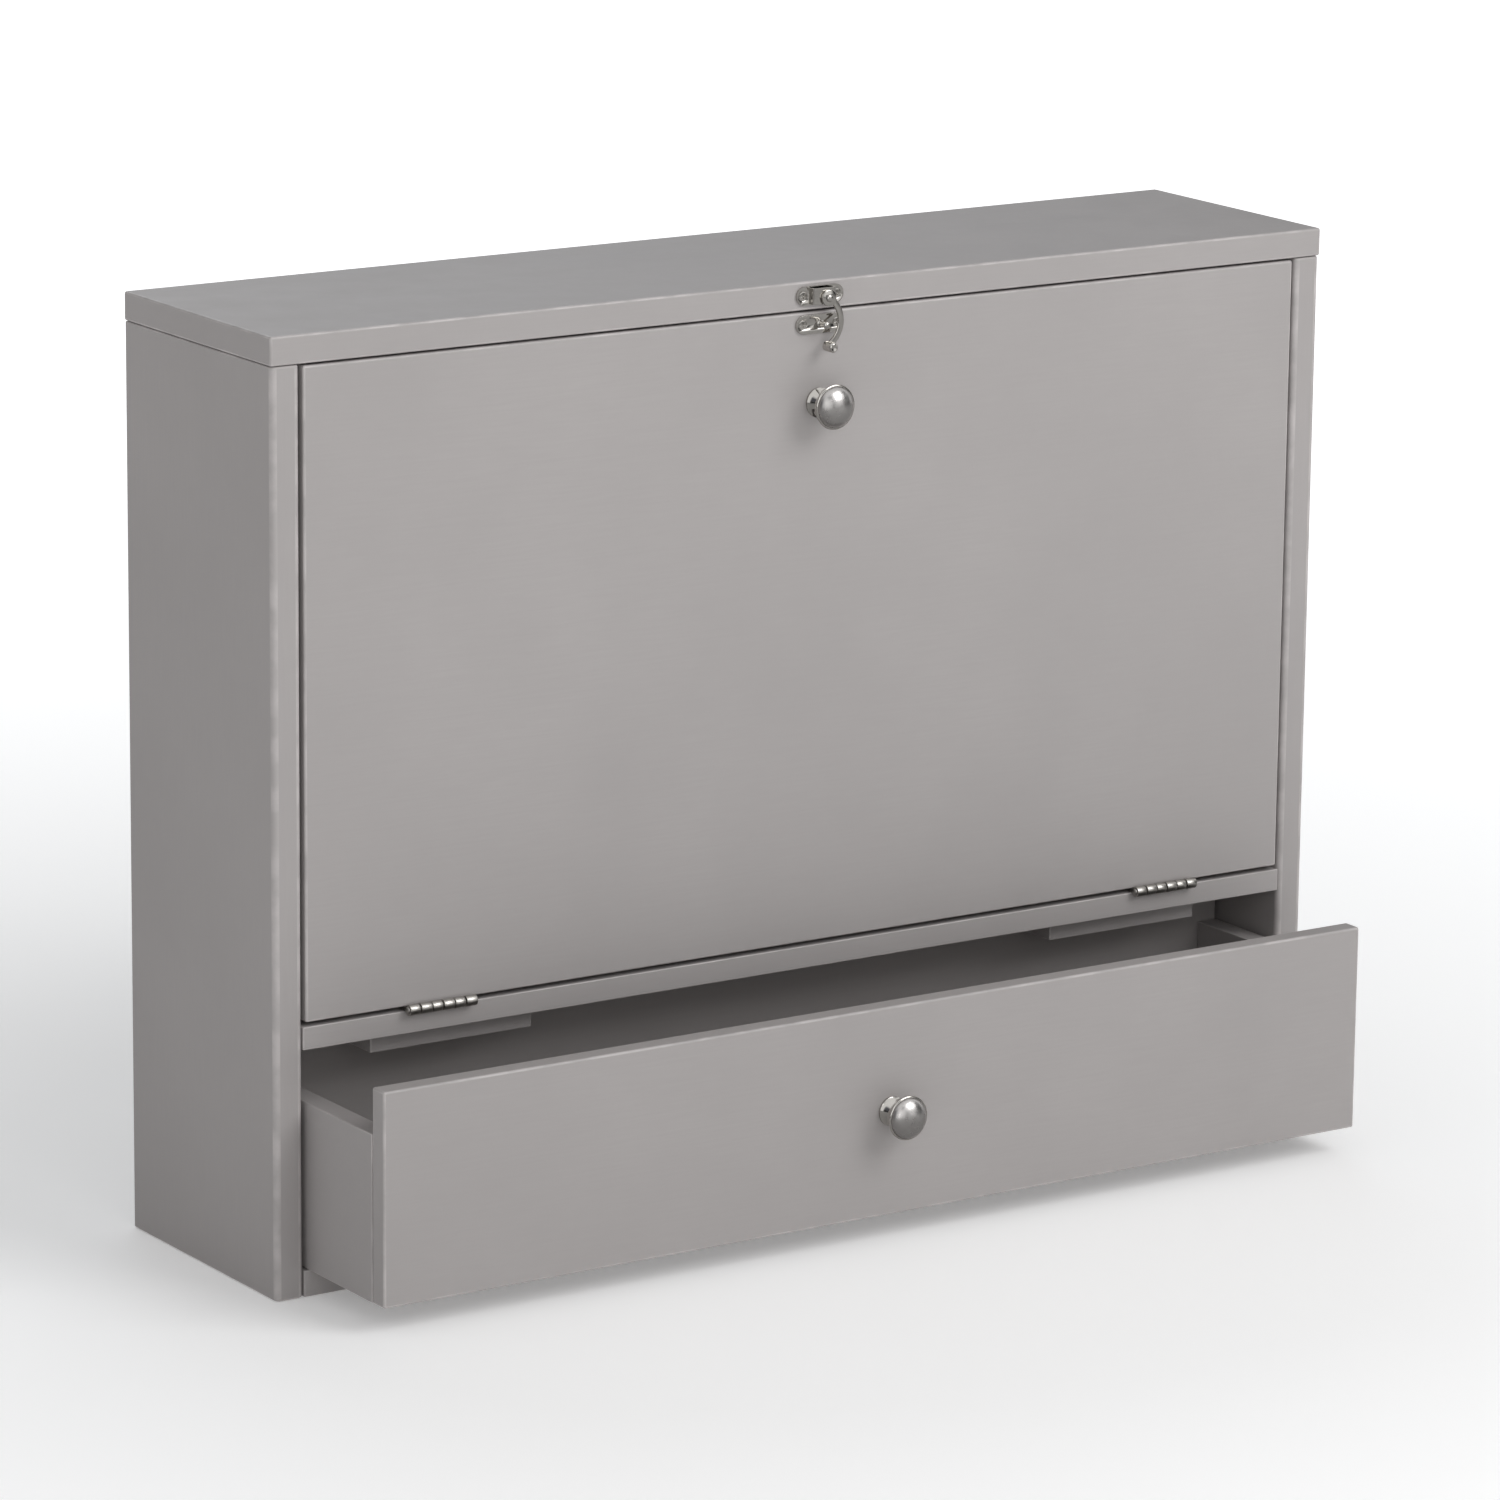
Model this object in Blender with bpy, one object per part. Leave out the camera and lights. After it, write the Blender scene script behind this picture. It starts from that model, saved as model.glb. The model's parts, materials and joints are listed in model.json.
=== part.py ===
"""Wall-mounted secretary desk: a painted cabinet with a drop front, two folding stays, a swing-hook latch and a
drawer. One object per real piece. Metres, +Z up; the origin is the centre of the underside of the cabinet,
the front faces -Y and the back goes against the wall."""

import math

import bmesh
import bpy
from mathutils import Vector

MM = 0.001

# Cabinet
WIDTH = 648 * MM
DEPTH = 150 * MM
HEIGHT = 495.8 * MM
TOP_T = 15 * MM
TOP_OVERHANG = 0.5 * MM
SIDE_T = 16 * MM
BOTTOM_T = 14 * MM
SHELF_T = 12 * MM
SHELF_UNDERSIDE = 130 * MM
BACK_T = 6 * MM
SEAM = 0.3 * MM  # between pieces that are glued or screwed together
SIDE_ARRIS = 3 * MM
EASED_EDGE = 1.2 * MM

# Wall rail and its screw holes
RAIL_T = 12 * MM
RAIL_H = 45 * MM
WALL_HOLE_SPACING = 406.4 * MM
WALL_HOLE_R = 2.5 * MM

# Drop front
DOOR_T = 15 * MM
DOOR_SIDE_GAP = 2 * MM
DOOR_TOP_GAP = 1.1 * MM

# Butt hinges
HINGE_L = 40 * MM
HINGE_INSET = 79.6 * MM  # from the inside of the case to the hinge's middle
KNUCKLES = 6
KNUCKLE_R = 2.9 * MM
KNUCKLE_CLEAR = 0.15 * MM
KNUCKLE_RELIEF = 1.5 * KNUCKLE_CLEAR  # beside the other leaf's knuckles; more than the running clearance
KNUCKLE_STANDOFF = 0.2 * MM  # between a knuckle and the front of the boards
PIN_R = 1.25 * MM
PIN_CLEAR = 0.07 * MM
PIN_HEAD = 0.6 * MM  # by which a pin's head is wider than its shank
PIN_HEAD_H = 0.9 * MM
LEAF_T = 0.9 * MM
LEAF_SPLIT = 0.15 * MM  # from the middle of the gap to each leaf
LEAF_BED = 0.1 * MM  # between a leaf and its board
LEAF_LAP = 0.9 * MM  # by which a leaf runs into its knuckles
LEAF_REACH = 14.2 * MM  # from the pin's centre line to the leaf's free edge
HINGE_SCREW_X = 13 * MM
HINGE_SCREW_Y = 9 * MM
BLOCK_L = 96 * MM
BLOCK_T = 11.5 * MM
BLOCK_INSET = 15.9 * MM  # from the hinge's middle to the block's middle
BLOCK_SETBACK = 14 * MM

# Screws
SCREW_R = 1.4 * MM
SCREW_HEAD_R = 2.5 * MM
SCREW_HEAD_H = 0.8 * MM
SCREW_L = 9 * MM
SCREW_POINT = 2 * MM
SCREW_CLEAR = 0.16 * MM
SCREW_SINK = 0.05 * MM  # under the head's flat face
SCREW_END_CLEAR = 0.3 * MM
THROUGH = 1 * MM  # by which a cutter runs past the face that it opens
SEAM_WELD = 0.001 * MM  # where a ring-shaped profile closes on itself

# Drawer
PULL = 76 * MM  # how far it stands open at rest
PULL_MAX = 80 * MM  # where its back meets the hinge blocks
DRAWER_FRONT_T = 11.5 * MM
DRAWER_FRONT_H = 112.5 * MM
DRAWER_SIDE_H = 88 * MM
DRAWER_WALL_T = 12 * MM
DRAWER_BACK_ROOM = 3 * MM  # behind the drawer when it is pushed in
DRAWER_GAP = 2.5 * MM  # each side
DRAWER_BOTTOM_T = 5 * MM
DRAWER_BOTTOM_LIFT = 6 * MM
GROOVE_DEPTH = 5 * MM
GROOVE_CLEAR = 0.2 * MM

# Knobs
KNOB_HEAD_R = 11.9 * MM
KNOB_BASE_R = 7.9 * MM
KNOB_NECK_R = 4.6 * MM
KNOB_H = 21.5 * MM
KNOB_BORE_DEPTH = 9 * MM
KNOB_SCREW_R = 1.95 * MM
KNOB_SCREW_CLEAR = 0.1 * MM
KNOB_SCREW_HEAD_R = 3.6 * MM
KNOB_SCREW_HEAD_H = 2.2 * MM
DOOR_KNOB_DOWN = 47.7 * MM  # from the drop front's top edge

# Swing-hook latch
LATCH_L = 28.8 * MM
LATCH_H = 10 * MM
LATCH_T = 1 * MM
LATCH_SCREW_SPACING = 20.8 * MM
LATCH_CENTRE_X = -0.5 * MM
BRIDGE_L = 14 * MM
BRIDGE_H = 8.4 * MM
BRIDGE_RISE = 5 * MM
SHEET_T = 1 * MM
HOOK_PIVOT_X = 1.6 * MM
HOOK_PIVOT_DOWN = 1.1 * MM  # from the middle of the bridge plate
HOOK_CLEAR = 0.25 * MM
HOOK_T = 1.6 * MM
HOOK_EYE_R = 4.3 * MM
HOOK_ARM_W = 3.4 * MM
HOOK_ARC_CENTRE = (-6.5 * MM, -12.3 * MM)  # from the pivot
HOOK_ARC_END = -65  # degrees round the arc's centre
HOOK_ARC_STEPS = 16
FINGER_R = 2.7 * MM
FINGER_L = 7.3 * MM
RIVET_R = 1.5 * MM
RIVET_HEAD_R = 2.0 * MM
RIVET_DOME = 0.9 * MM
RUNNING = 0.06 * MM  # round a rivet, a stud or a tail
CATCH_DOWN = 6.4 * MM  # from the drop front's top edge
POST_X = -0.3 * MM
POST_TAIL_R = 1.2 * MM
POST_TAIL_L = 3 * MM
POST_R = 1.5 * MM
POST_HEAD_R = 2.0 * MM
POST_L = 8.5 * MM

# Folding stays: both links keep the angles of a parallelogram with the hinge pin and the drop front
STAY_ELBOW_ROOM = 12.1 * MM  # from the elbow to the back panel
STAY_CABINET_PIVOT_UP = 50 * MM  # from the hinge pin
STAY_DOOR_PIVOT_BEHIND = 6.9 * MM  # behind the drop front's inner face
STAY_DOOR_PIVOT_UP = 128 * MM  # from the hinge pin
STAY_W = 10 * MM
STAY_T = 1.6 * MM
STAY_STUD_R = 2 * MM
STAY_HEAD_R = 3.2 * MM
STAY_HEAD_H = 0.5 * MM
STAY_LAYER_GAP = 0.4 * MM
STAY_PLATE_T = 1.5 * MM
WALL_PLATE_L = 16 * MM
WALL_PLATE_H = 28 * MM
WALL_PLATE_SCREW_UP = 10 * MM
BRACKET_H = 18 * MM
BRACKET_FOOT = 14 * MM
BRACKET_PAST_STUD = 5 * MM
BRACKET_SCREW_IN = 8 * MM
BRACKET_SCREW_UP = 5 * MM

ROUND = 24  # sides of small round pieces

FRONT_Y = -DEPTH / 2
BACK_Y = DEPTH / 2
INSIDE_BACK = BACK_Y - BACK_T
INNER_X = WIDTH / 2 - TOP_OVERHANG - SIDE_T
UNDER_TOP = HEIGHT - TOP_T
SHELF_TOP = SHELF_UNDERSIDE + SHELF_T
HINGE_GAP = 2 * (LEAF_SPLIT + LEAF_T + LEAF_BED)
HINGE_X = INNER_X - HINGE_INSET
BLOCK_X = HINGE_X - BLOCK_INSET
PIN_PROUD = KNUCKLE_R + KNUCKLE_STANDOFF
DOOR_BOTTOM = SHELF_TOP + HINGE_GAP
DOOR_TOP = UNDER_TOP - DOOR_TOP_GAP
DOOR_HALF = INNER_X - DOOR_SIDE_GAP
PIN_Y = FRONT_Y - PIN_PROUD
PIN_Z = SHELF_TOP + HINGE_GAP / 2
DRAWER_HALF = INNER_X - DRAWER_GAP
DRAWER_Z = BOTTOM_T + SEAM
DRAWER_L = DEPTH - BACK_T - DRAWER_BACK_ROOM
DRAWER_FRONT_Y = FRONT_Y - PULL
DRAWER_BACK_Y = DRAWER_FRONT_Y + DRAWER_L
DRAWER_KNOB_Z = DRAWER_Z + DRAWER_FRONT_H / 2
DOOR_KNOB_Z = DOOR_TOP - DOOR_KNOB_DOWN
LATCH_Z = HEIGHT - TOP_T / 2
CATCH_Z = DOOR_TOP - CATCH_DOWN
HOOK_PIVOT = (HOOK_PIVOT_X, LATCH_Z - HOOK_PIVOT_DOWN)
FITTING_Y = FRONT_Y - SEAM / 3  # the back of what is screwed to the front
STAY_DOOR_PIVOT = (PIN_PROUD + DOOR_T + STAY_DOOR_PIVOT_BEHIND, STAY_DOOR_PIVOT_UP)  # back and up from the pin
STAY_CABINET_PIVOT = (INSIDE_BACK - STAY_ELBOW_ROOM - PIN_Y - STAY_DOOR_PIVOT[0], STAY_CABINET_PIVOT_UP)

PAINT = ((0.36, 0.335, 0.33, 1), 0.45, 0.0)
NICKEL = ((0.72, 0.70, 0.67, 1), 0.2, 1.0)
STEEL = ((0.60, 0.59, 0.57, 1), 0.35, 1.0)


# ---------------------------------------------------------------- helpers

def clear_file():
    for thing in list(bpy.data.objects):
        bpy.data.objects.remove(thing, do_unlink=True)


def finish_material(name, finish):
    colour, roughness, metallic = finish
    material = bpy.data.materials.new(name)
    material.use_nodes = True
    shader = material.node_tree.nodes["Principled BSDF"]
    shader.inputs["Base Color"].default_value = colour
    shader.inputs["Roughness"].default_value = roughness
    shader.inputs["Metallic"].default_value = metallic
    return material


def to_object(name, bm, finish=None, parent=None, origin=(0, 0, 0)):
    """Make an object from a mesh built in world coordinates, with its own origin and an optional parent."""
    origin = Vector(origin)
    bmesh.ops.translate(bm, verts=bm.verts, vec=-origin)
    bmesh.ops.recalc_face_normals(bm, faces=bm.faces)
    mesh = bpy.data.meshes.new(name)
    bm.to_mesh(mesh)
    bm.free()
    made = bpy.data.objects.new(name, mesh)
    bpy.context.scene.collection.objects.link(made)
    made.location = origin - (parent.location if parent else Vector())
    made.parent = parent
    if finish:
        mesh.materials.append(finish_material(name, finish))
    return made


def joint_empty(name, at):
    empty = bpy.data.objects.new(name, None)
    bpy.context.scene.collection.objects.link(empty)
    empty.location = at
    return empty


def add_box(bm, lo, hi):
    """Add a box between two corners and return its edges."""
    lo, hi = Vector(lo), Vector(hi)
    lo, hi = Vector(map(min, lo, hi)), Vector(map(max, lo, hi))
    made = bmesh.ops.create_cube(bm, size=1)
    bmesh.ops.scale(bm, verts=made["verts"], vec=hi - lo)
    bmesh.ops.translate(bm, verts=made["verts"], vec=(lo + hi) / 2)
    return list({edge for vert in made["verts"] for edge in vert.link_edges})


def bevel(bm, edges, width, segments=2):
    bmesh.ops.bevel(bm, geom=edges, offset=width, segments=segments, profile=0.5, affect="EDGES")


def board(name, lo, hi, eased=0.5 * MM, finish=PAINT, parent=None, segments=2):
    """A flat board between two corners, with every arris eased."""
    bm = bmesh.new()
    bevel(bm, add_box(bm, lo, hi), eased, segments)
    return to_object(name, bm, finish, parent, [(a + b) / 2 for a, b in zip(lo, hi)])


def turned_into(bm, profile, at, direction, sides=ROUND):
    """Add a turned solid: profile is a list of (radius, height) from one end on the axis to the other."""
    turn = Vector(direction).to_track_quat("Z", "Y")
    at = Vector(at)
    rings = []
    for radius, height in profile:
        count = 1 if radius == 0 else sides
        rings.append([
            bm.verts.new(at + turn @ Vector((
                radius * math.cos(2 * math.pi * i / sides), radius * math.sin(2 * math.pi * i / sides), height)))
            for i in range(count)
        ])
    for lower, upper in zip(rings, rings[1:]):
        for i in range(sides):
            j = (i + 1) % sides
            if len(lower) == 1:
                bm.faces.new((lower[0], upper[i], upper[j]))
            elif len(upper) == 1:
                bm.faces.new((lower[i], lower[j], upper[0]))
            else:
                bm.faces.new((lower[i], lower[j], upper[j], upper[i]))
    return bm


def turned(name, profile, at, direction, finish, parent=None, sides=ROUND):
    made = to_object(name, turned_into(bmesh.new(), profile, at, direction, sides), finish, parent, at)
    made.data.shade_smooth()
    made.data.set_sharp_from_angle(angle=math.radians(35))
    return made


def rod(bm, at, direction, radius, length, sides=ROUND, far_radius=None):
    """Add a closed cylinder or cone that starts at a point and runs along a direction."""
    far = radius if far_radius is None else far_radius
    return turned_into(bm, [(0, 0), (radius, 0), (far, length), (0, length)], at, direction, sides)


def tube(bm, at, direction, radius, bore_r, length):
    """Add a tube that starts at a point and runs along a direction."""
    turned_into(bm, [(bore_r, 0), (radius, 0), (radius, length), (bore_r, length), (bore_r, 0)], at, direction)
    bmesh.ops.remove_doubles(bm, verts=bm.verts, dist=SEAM_WELD)


def plate(bm, outline, y_front, y_back):
    """Add a flat plate that faces -Y, from an outline of (x, z) points."""
    front = [bm.verts.new((x, y_front, z)) for x, z in outline]
    back = [bm.verts.new((x, y_back, z)) for x, z in outline]
    bm.faces.new(front)
    bm.faces.new(back[::-1])
    for i in range(len(outline)):
        j = (i + 1) % len(outline)
        bm.faces.new((front[i], back[i], back[j], front[j]))
    return bm


def obround(cx, cz, length, height, steps=10):
    half, r = (length - height) / 2, height / 2
    ends = ((half, -90), (-half, 90))
    return [
        (cx + shift + r * math.cos(math.radians(start + 180 * i / steps)),
         cz + r * math.sin(math.radians(start + 180 * i / steps)))
        for shift, start in ends for i in range(steps + 1)
    ]


def boolean(target, bm, operation, label):
    """Join a hidden shape to the target, or cut it out of it."""
    cutter = to_object(f"{target.name}_{label}", bm)
    cutter.hide_render = True
    cutter.display_type = "WIRE"
    change = target.modifiers.new(label, "BOOLEAN")
    change.operation = operation
    change.solver = "EXACT"
    change.object = cutter
    return target


def join(target, bm, label):
    return boolean(target, bm, "UNION", label)


def cut(target, bm, label):
    return boolean(target, bm, "DIFFERENCE", label)


def countersunk_screw(name, head_at, into, parent=None):
    """A countersunk wood screw: the head's flat face is at head_at and the shank runs along into."""
    profile = [(0, 0), (SCREW_HEAD_R, 0), (SCREW_R, SCREW_HEAD_H), (SCREW_R, SCREW_L - SCREW_POINT),
               (0, SCREW_L)]
    return turned(name, profile, head_at, into, STEEL, parent, sides=16)


def screw_hole(bm, head_at, into):
    """The countersunk hole that a screw fills, with clearance all round."""
    into = Vector(into)
    start = Vector(head_at) - into * SCREW_SINK
    head, shank, end = SCREW_HEAD_R + SCREW_CLEAR, SCREW_R + SCREW_CLEAR, SCREW_L + SCREW_END_CLEAR
    profile = [(0, -THROUGH), (head, -THROUGH), (head, 0), (shank, SCREW_HEAD_H), (shank, end), (0, end)]
    return turned_into(bm, profile, start, into, sides=16)


def plate_screws(prefix, spots, into, host, parent=None):
    """Screws through a plate into its host, which gets their holes; returns the same holes for the plate."""
    host_holes, plate_holes = bmesh.new(), bmesh.new()
    for number, at in enumerate(spots, 1):
        countersunk_screw(f"{prefix}_screw_{number}", at, into, parent)
        screw_hole(host_holes, at, into)
        screw_hole(plate_holes, at, into)
    cut(host, host_holes, f"{prefix}_screw_holes")
    return plate_holes


# ---------------------------------------------------------------- cabinet

def build_cabinet():
    """The fixed case: top, sides, bottom, shelf, back, wall rail and hinge blocks."""
    board("top_panel", (-WIDTH / 2, FRONT_Y, UNDER_TOP), (WIDTH / 2, BACK_Y, HEIGHT), EASED_EDGE)
    for side, name in ((-1, "left_side"), (1, "right_side")):
        bm = bmesh.new()
        edges = add_box(bm, (side * INNER_X, FRONT_Y, 0), (side * (INNER_X + SIDE_T), BACK_Y, UNDER_TOP - SEAM))
        arrises = [e for e in edges if all(abs(v.co.y - FRONT_Y) < SEAM for v in e.verts)
                   and abs(e.verts[0].co.z - e.verts[1].co.z) > SIDE_T]
        bevel(bm, arrises, SIDE_ARRIS, 4)
        to_object(name, bm, PAINT, None, (side * (INNER_X + SIDE_T / 2), 0, UNDER_TOP / 2))
    inner = INNER_X - SEAM
    board_back = INSIDE_BACK - SEAM
    board("bottom_panel", (-inner, FRONT_Y, 0), (inner, board_back, BOTTOM_T))
    board("fixed_shelf", (-inner, FRONT_Y, SHELF_UNDERSIDE), (inner, board_back, SHELF_TOP))
    back = board("back_panel", (-inner, INSIDE_BACK, 0), (inner, BACK_Y, UNDER_TOP - SEAM))
    rail_front = board_back - RAIL_T
    rail_top = UNDER_TOP - SEAM
    rail = board("wall_rail", (-inner, rail_front, rail_top - RAIL_H), (inner, board_back, rail_top))
    for target in (back, rail):
        holes = bmesh.new()
        for side in (-1, 1):
            at = (side * WALL_HOLE_SPACING / 2, rail_front - THROUGH, rail_top - RAIL_H / 2)
            rod(holes, at, (0, 1, 0), WALL_HOLE_R, RAIL_T + BACK_T + SEAM + 2 * THROUGH)
        cut(target, holes, "wall_screw_holes")
    block_top = SHELF_UNDERSIDE - SEAM
    block_back = FRONT_Y - PULL_MAX + DRAWER_L - DRAWER_WALL_T - SEAM
    for side, word in ((-1, "left"), (1, "right")):
        board(f"{word}_hinge_block", (side * BLOCK_X - BLOCK_L / 2, FRONT_Y + BLOCK_SETBACK, block_top - BLOCK_T),
              (side * BLOCK_X + BLOCK_L / 2, block_back, block_top))


# ---------------------------------------------------------------- butt hinges

def knuckle_spans(centre_x, parity):
    """Start and end in X of every second knuckle, with running clearance at each end."""
    step = HINGE_L / KNUCKLES
    left = centre_x - HINGE_L / 2
    return [(left + i * step + KNUCKLE_CLEAR / 2, left + (i + 1) * step - KNUCKLE_CLEAR / 2)
            for i in range(KNUCKLES) if i % 2 == parity]


def hinge_leaf(name, centre_x, up, parent=None):
    """One leaf with its knuckles. The upper leaf (up = 1) turns with the drop front."""
    z_near = PIN_Z + up * LEAF_SPLIT
    z_far = z_near + up * LEAF_T
    own, other = (0, 1) if up < 0 else (1, 0)
    bm = bmesh.new()
    add_box(bm, (centre_x - HINGE_L / 2, PIN_Y + KNUCKLE_R - LEAF_LAP, z_near),
            (centre_x + HINGE_L / 2, PIN_Y + LEAF_REACH, z_far))
    leaf = to_object(name, bm, STEEL, parent, (centre_x, PIN_Y, PIN_Z))
    reliefs = bmesh.new()
    for start, end in knuckle_spans(centre_x, other):
        add_box(reliefs, (start - KNUCKLE_RELIEF, PIN_Y, PIN_Z - KNUCKLE_R),
                (end + KNUCKLE_RELIEF, PIN_Y + KNUCKLE_R + 2 * KNUCKLE_CLEAR, PIN_Z + KNUCKLE_R))
    for at in hinge_screw_heads(centre_x, up):
        screw_hole(reliefs, at, (0, 0, up))
    cut(leaf, reliefs, "knuckle_and_screw_reliefs")
    barrels = bmesh.new()
    for start, end in knuckle_spans(centre_x, own):
        tube(barrels, (start, PIN_Y, PIN_Z), (1, 0, 0), KNUCKLE_R, PIN_R + PIN_CLEAR, end - start)
    join(leaf, barrels, "knuckles")


def hinge_screw_heads(centre_x, up):
    """Where the heads of a leaf's two screws lie, just inside the leaf's outer face."""
    z = PIN_Z + up * (LEAF_SPLIT + SCREW_SINK)
    return [(centre_x + side * HINGE_SCREW_X, PIN_Y + HINGE_SCREW_Y, z) for side in (-1, 1)]


def build_hinges(shelf, door, door_axis):
    """Two butt hinges: lower leaves on the shelf, upper leaves under the drop front."""
    head = PIN_R + PIN_HEAD
    shelf_holes, door_holes = bmesh.new(), bmesh.new()
    for side, word in ((-1, "left"), (1, "right")):
        centre_x = side * HINGE_X
        hinge_leaf(f"{word}_hinge_lower_leaf", centre_x, -1)
        hinge_leaf(f"{word}_hinge_upper_leaf", centre_x, 1, door_axis)
        cap = [(head, 0.2 * MM), (head * 0.7, PIN_HEAD_H - 0.1 * MM), (0, PIN_HEAD_H)]
        pin = [(r, -h) for r, h in reversed(cap)] + [(head, 0), (PIN_R, 0), (PIN_R, HINGE_L), (head, HINGE_L)]
        pin += [(r, HINGE_L + h) for r, h in cap]
        turned(f"{word}_hinge_pin", pin, (centre_x - HINGE_L / 2, PIN_Y, PIN_Z), (1, 0, 0), STEEL)
        for up, holes, parent, place in ((-1, shelf_holes, None, "lower"), (1, door_holes, door_axis, "upper")):
            for number, at in enumerate(hinge_screw_heads(centre_x, up), 1):
                countersunk_screw(f"{word}_hinge_{place}_screw_{number}", at, (0, 0, up), parent)
                screw_hole(holes, at, (0, 0, up))
    cut(shelf, shelf_holes, "hinge_screw_holes")
    cut(door, door_holes, "hinge_screw_holes")


# ---------------------------------------------------------------- knobs

def build_knob(name, front_y, z, board_t, host, parent):
    """A mushroom knob and the machine screw that holds it through its board."""
    bore_r = KNOB_SCREW_R + KNOB_SCREW_CLEAR
    profile = [(0, KNOB_BORE_DEPTH), (bore_r, KNOB_BORE_DEPTH), (bore_r, 0), (KNOB_BASE_R, 0),
               (KNOB_BASE_R, 1.2 * MM), (KNOB_BASE_R - 0.9 * MM, 2.0 * MM), (KNOB_NECK_R + 0.7 * MM, 4.4 * MM),
               (KNOB_NECK_R, 7.2 * MM), (KNOB_NECK_R + 0.9 * MM, 10 * MM), (KNOB_HEAD_R - 4.1 * MM, 13 * MM),
               (KNOB_HEAD_R - 0.6 * MM, 15 * MM), (KNOB_HEAD_R, 16 * MM), (KNOB_HEAD_R - 0.4 * MM, 16.9 * MM),
               (KNOB_HEAD_R - 1.7 * MM, 17.3 * MM), (KNOB_HEAD_R - 2.1 * MM, 17.1 * MM),
               (KNOB_HEAD_R - 3.2 * MM, 18.7 * MM), (KNOB_HEAD_R - 5.8 * MM, 20.2 * MM),
               (KNOB_HEAD_R - 9 * MM, KNOB_H - 0.3 * MM), (0, KNOB_H)]
    turned(name, profile, (0, front_y - SEAM / 3, z), (0, -1, 0), NICKEL, parent, sides=32)
    inside_y = front_y + board_t
    grip = board_t + KNOB_BORE_DEPTH - THROUGH
    lift = SEAM / 3
    screw = [(0, KNOB_SCREW_HEAD_H), (KNOB_SCREW_HEAD_R - 1.2 * MM, KNOB_SCREW_HEAD_H - 0.2 * MM),
             (KNOB_SCREW_HEAD_R, KNOB_SCREW_HEAD_H - 1.2 * MM), (KNOB_SCREW_HEAD_R, lift), (KNOB_SCREW_R, lift),
             (KNOB_SCREW_R, -grip), (0, -grip)]
    turned(f"{name}_screw", screw, (0, inside_y, z), (0, 1, 0), STEEL, parent)
    hole = rod(bmesh.new(), (0, front_y - THROUGH, z), (0, 1, 0), KNOB_SCREW_R + 2 * KNOB_SCREW_CLEAR,
               board_t + 2 * THROUGH)
    cut(host, hole, "knob_screw_hole")


# ---------------------------------------------------------------- latch

def latch_plate(name, z, host, parent):
    """An obround plate that faces forward, and the holes of its two screws, for it to be cut with."""
    bm = plate(bmesh.new(), obround(LATCH_CENTRE_X, z, LATCH_L, LATCH_H), FITTING_Y - LATCH_T, FITTING_Y)
    made = to_object(name, bm, NICKEL, parent, (LATCH_CENTRE_X, FITTING_Y, z))
    spots = [(LATCH_CENTRE_X + side * LATCH_SCREW_SPACING / 2, FITTING_Y - LATCH_T, z) for side in (-1, 1)]
    return made, plate_screws(name, spots, (0, 1, 0), host, parent)


def build_bridge(top):
    """The plate on the top's edge, with the raised bridge that carries the hook; returns the bridge's front."""
    base, holes = latch_plate("latch_plate", LATCH_Z, top, None)
    half, high = BRIDGE_L / 2, BRIDGE_H / 2
    bridge_y = FITTING_Y - BRIDGE_RISE
    bridge = bmesh.new()
    add_box(bridge, (-half, bridge_y, LATCH_Z - high), (half, FITTING_Y - LATCH_T / 2, LATCH_Z + high))
    join(base, bridge, "bridge")
    add_box(holes, (-half + SHEET_T, bridge_y + SHEET_T, LATCH_Z - LATCH_H),
            (half - SHEET_T, FITTING_Y - LATCH_T, LATCH_Z + LATCH_H))
    cut(base, holes, "screw_holes_and_hollow")
    x, z = HOOK_PIVOT
    cut(base, rod(bmesh.new(), (x, bridge_y - THROUGH, z), (0, 1, 0), RIVET_R + RUNNING, SHEET_T + 2 * THROUGH),
        "rivet_hole")
    return bridge_y


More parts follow.
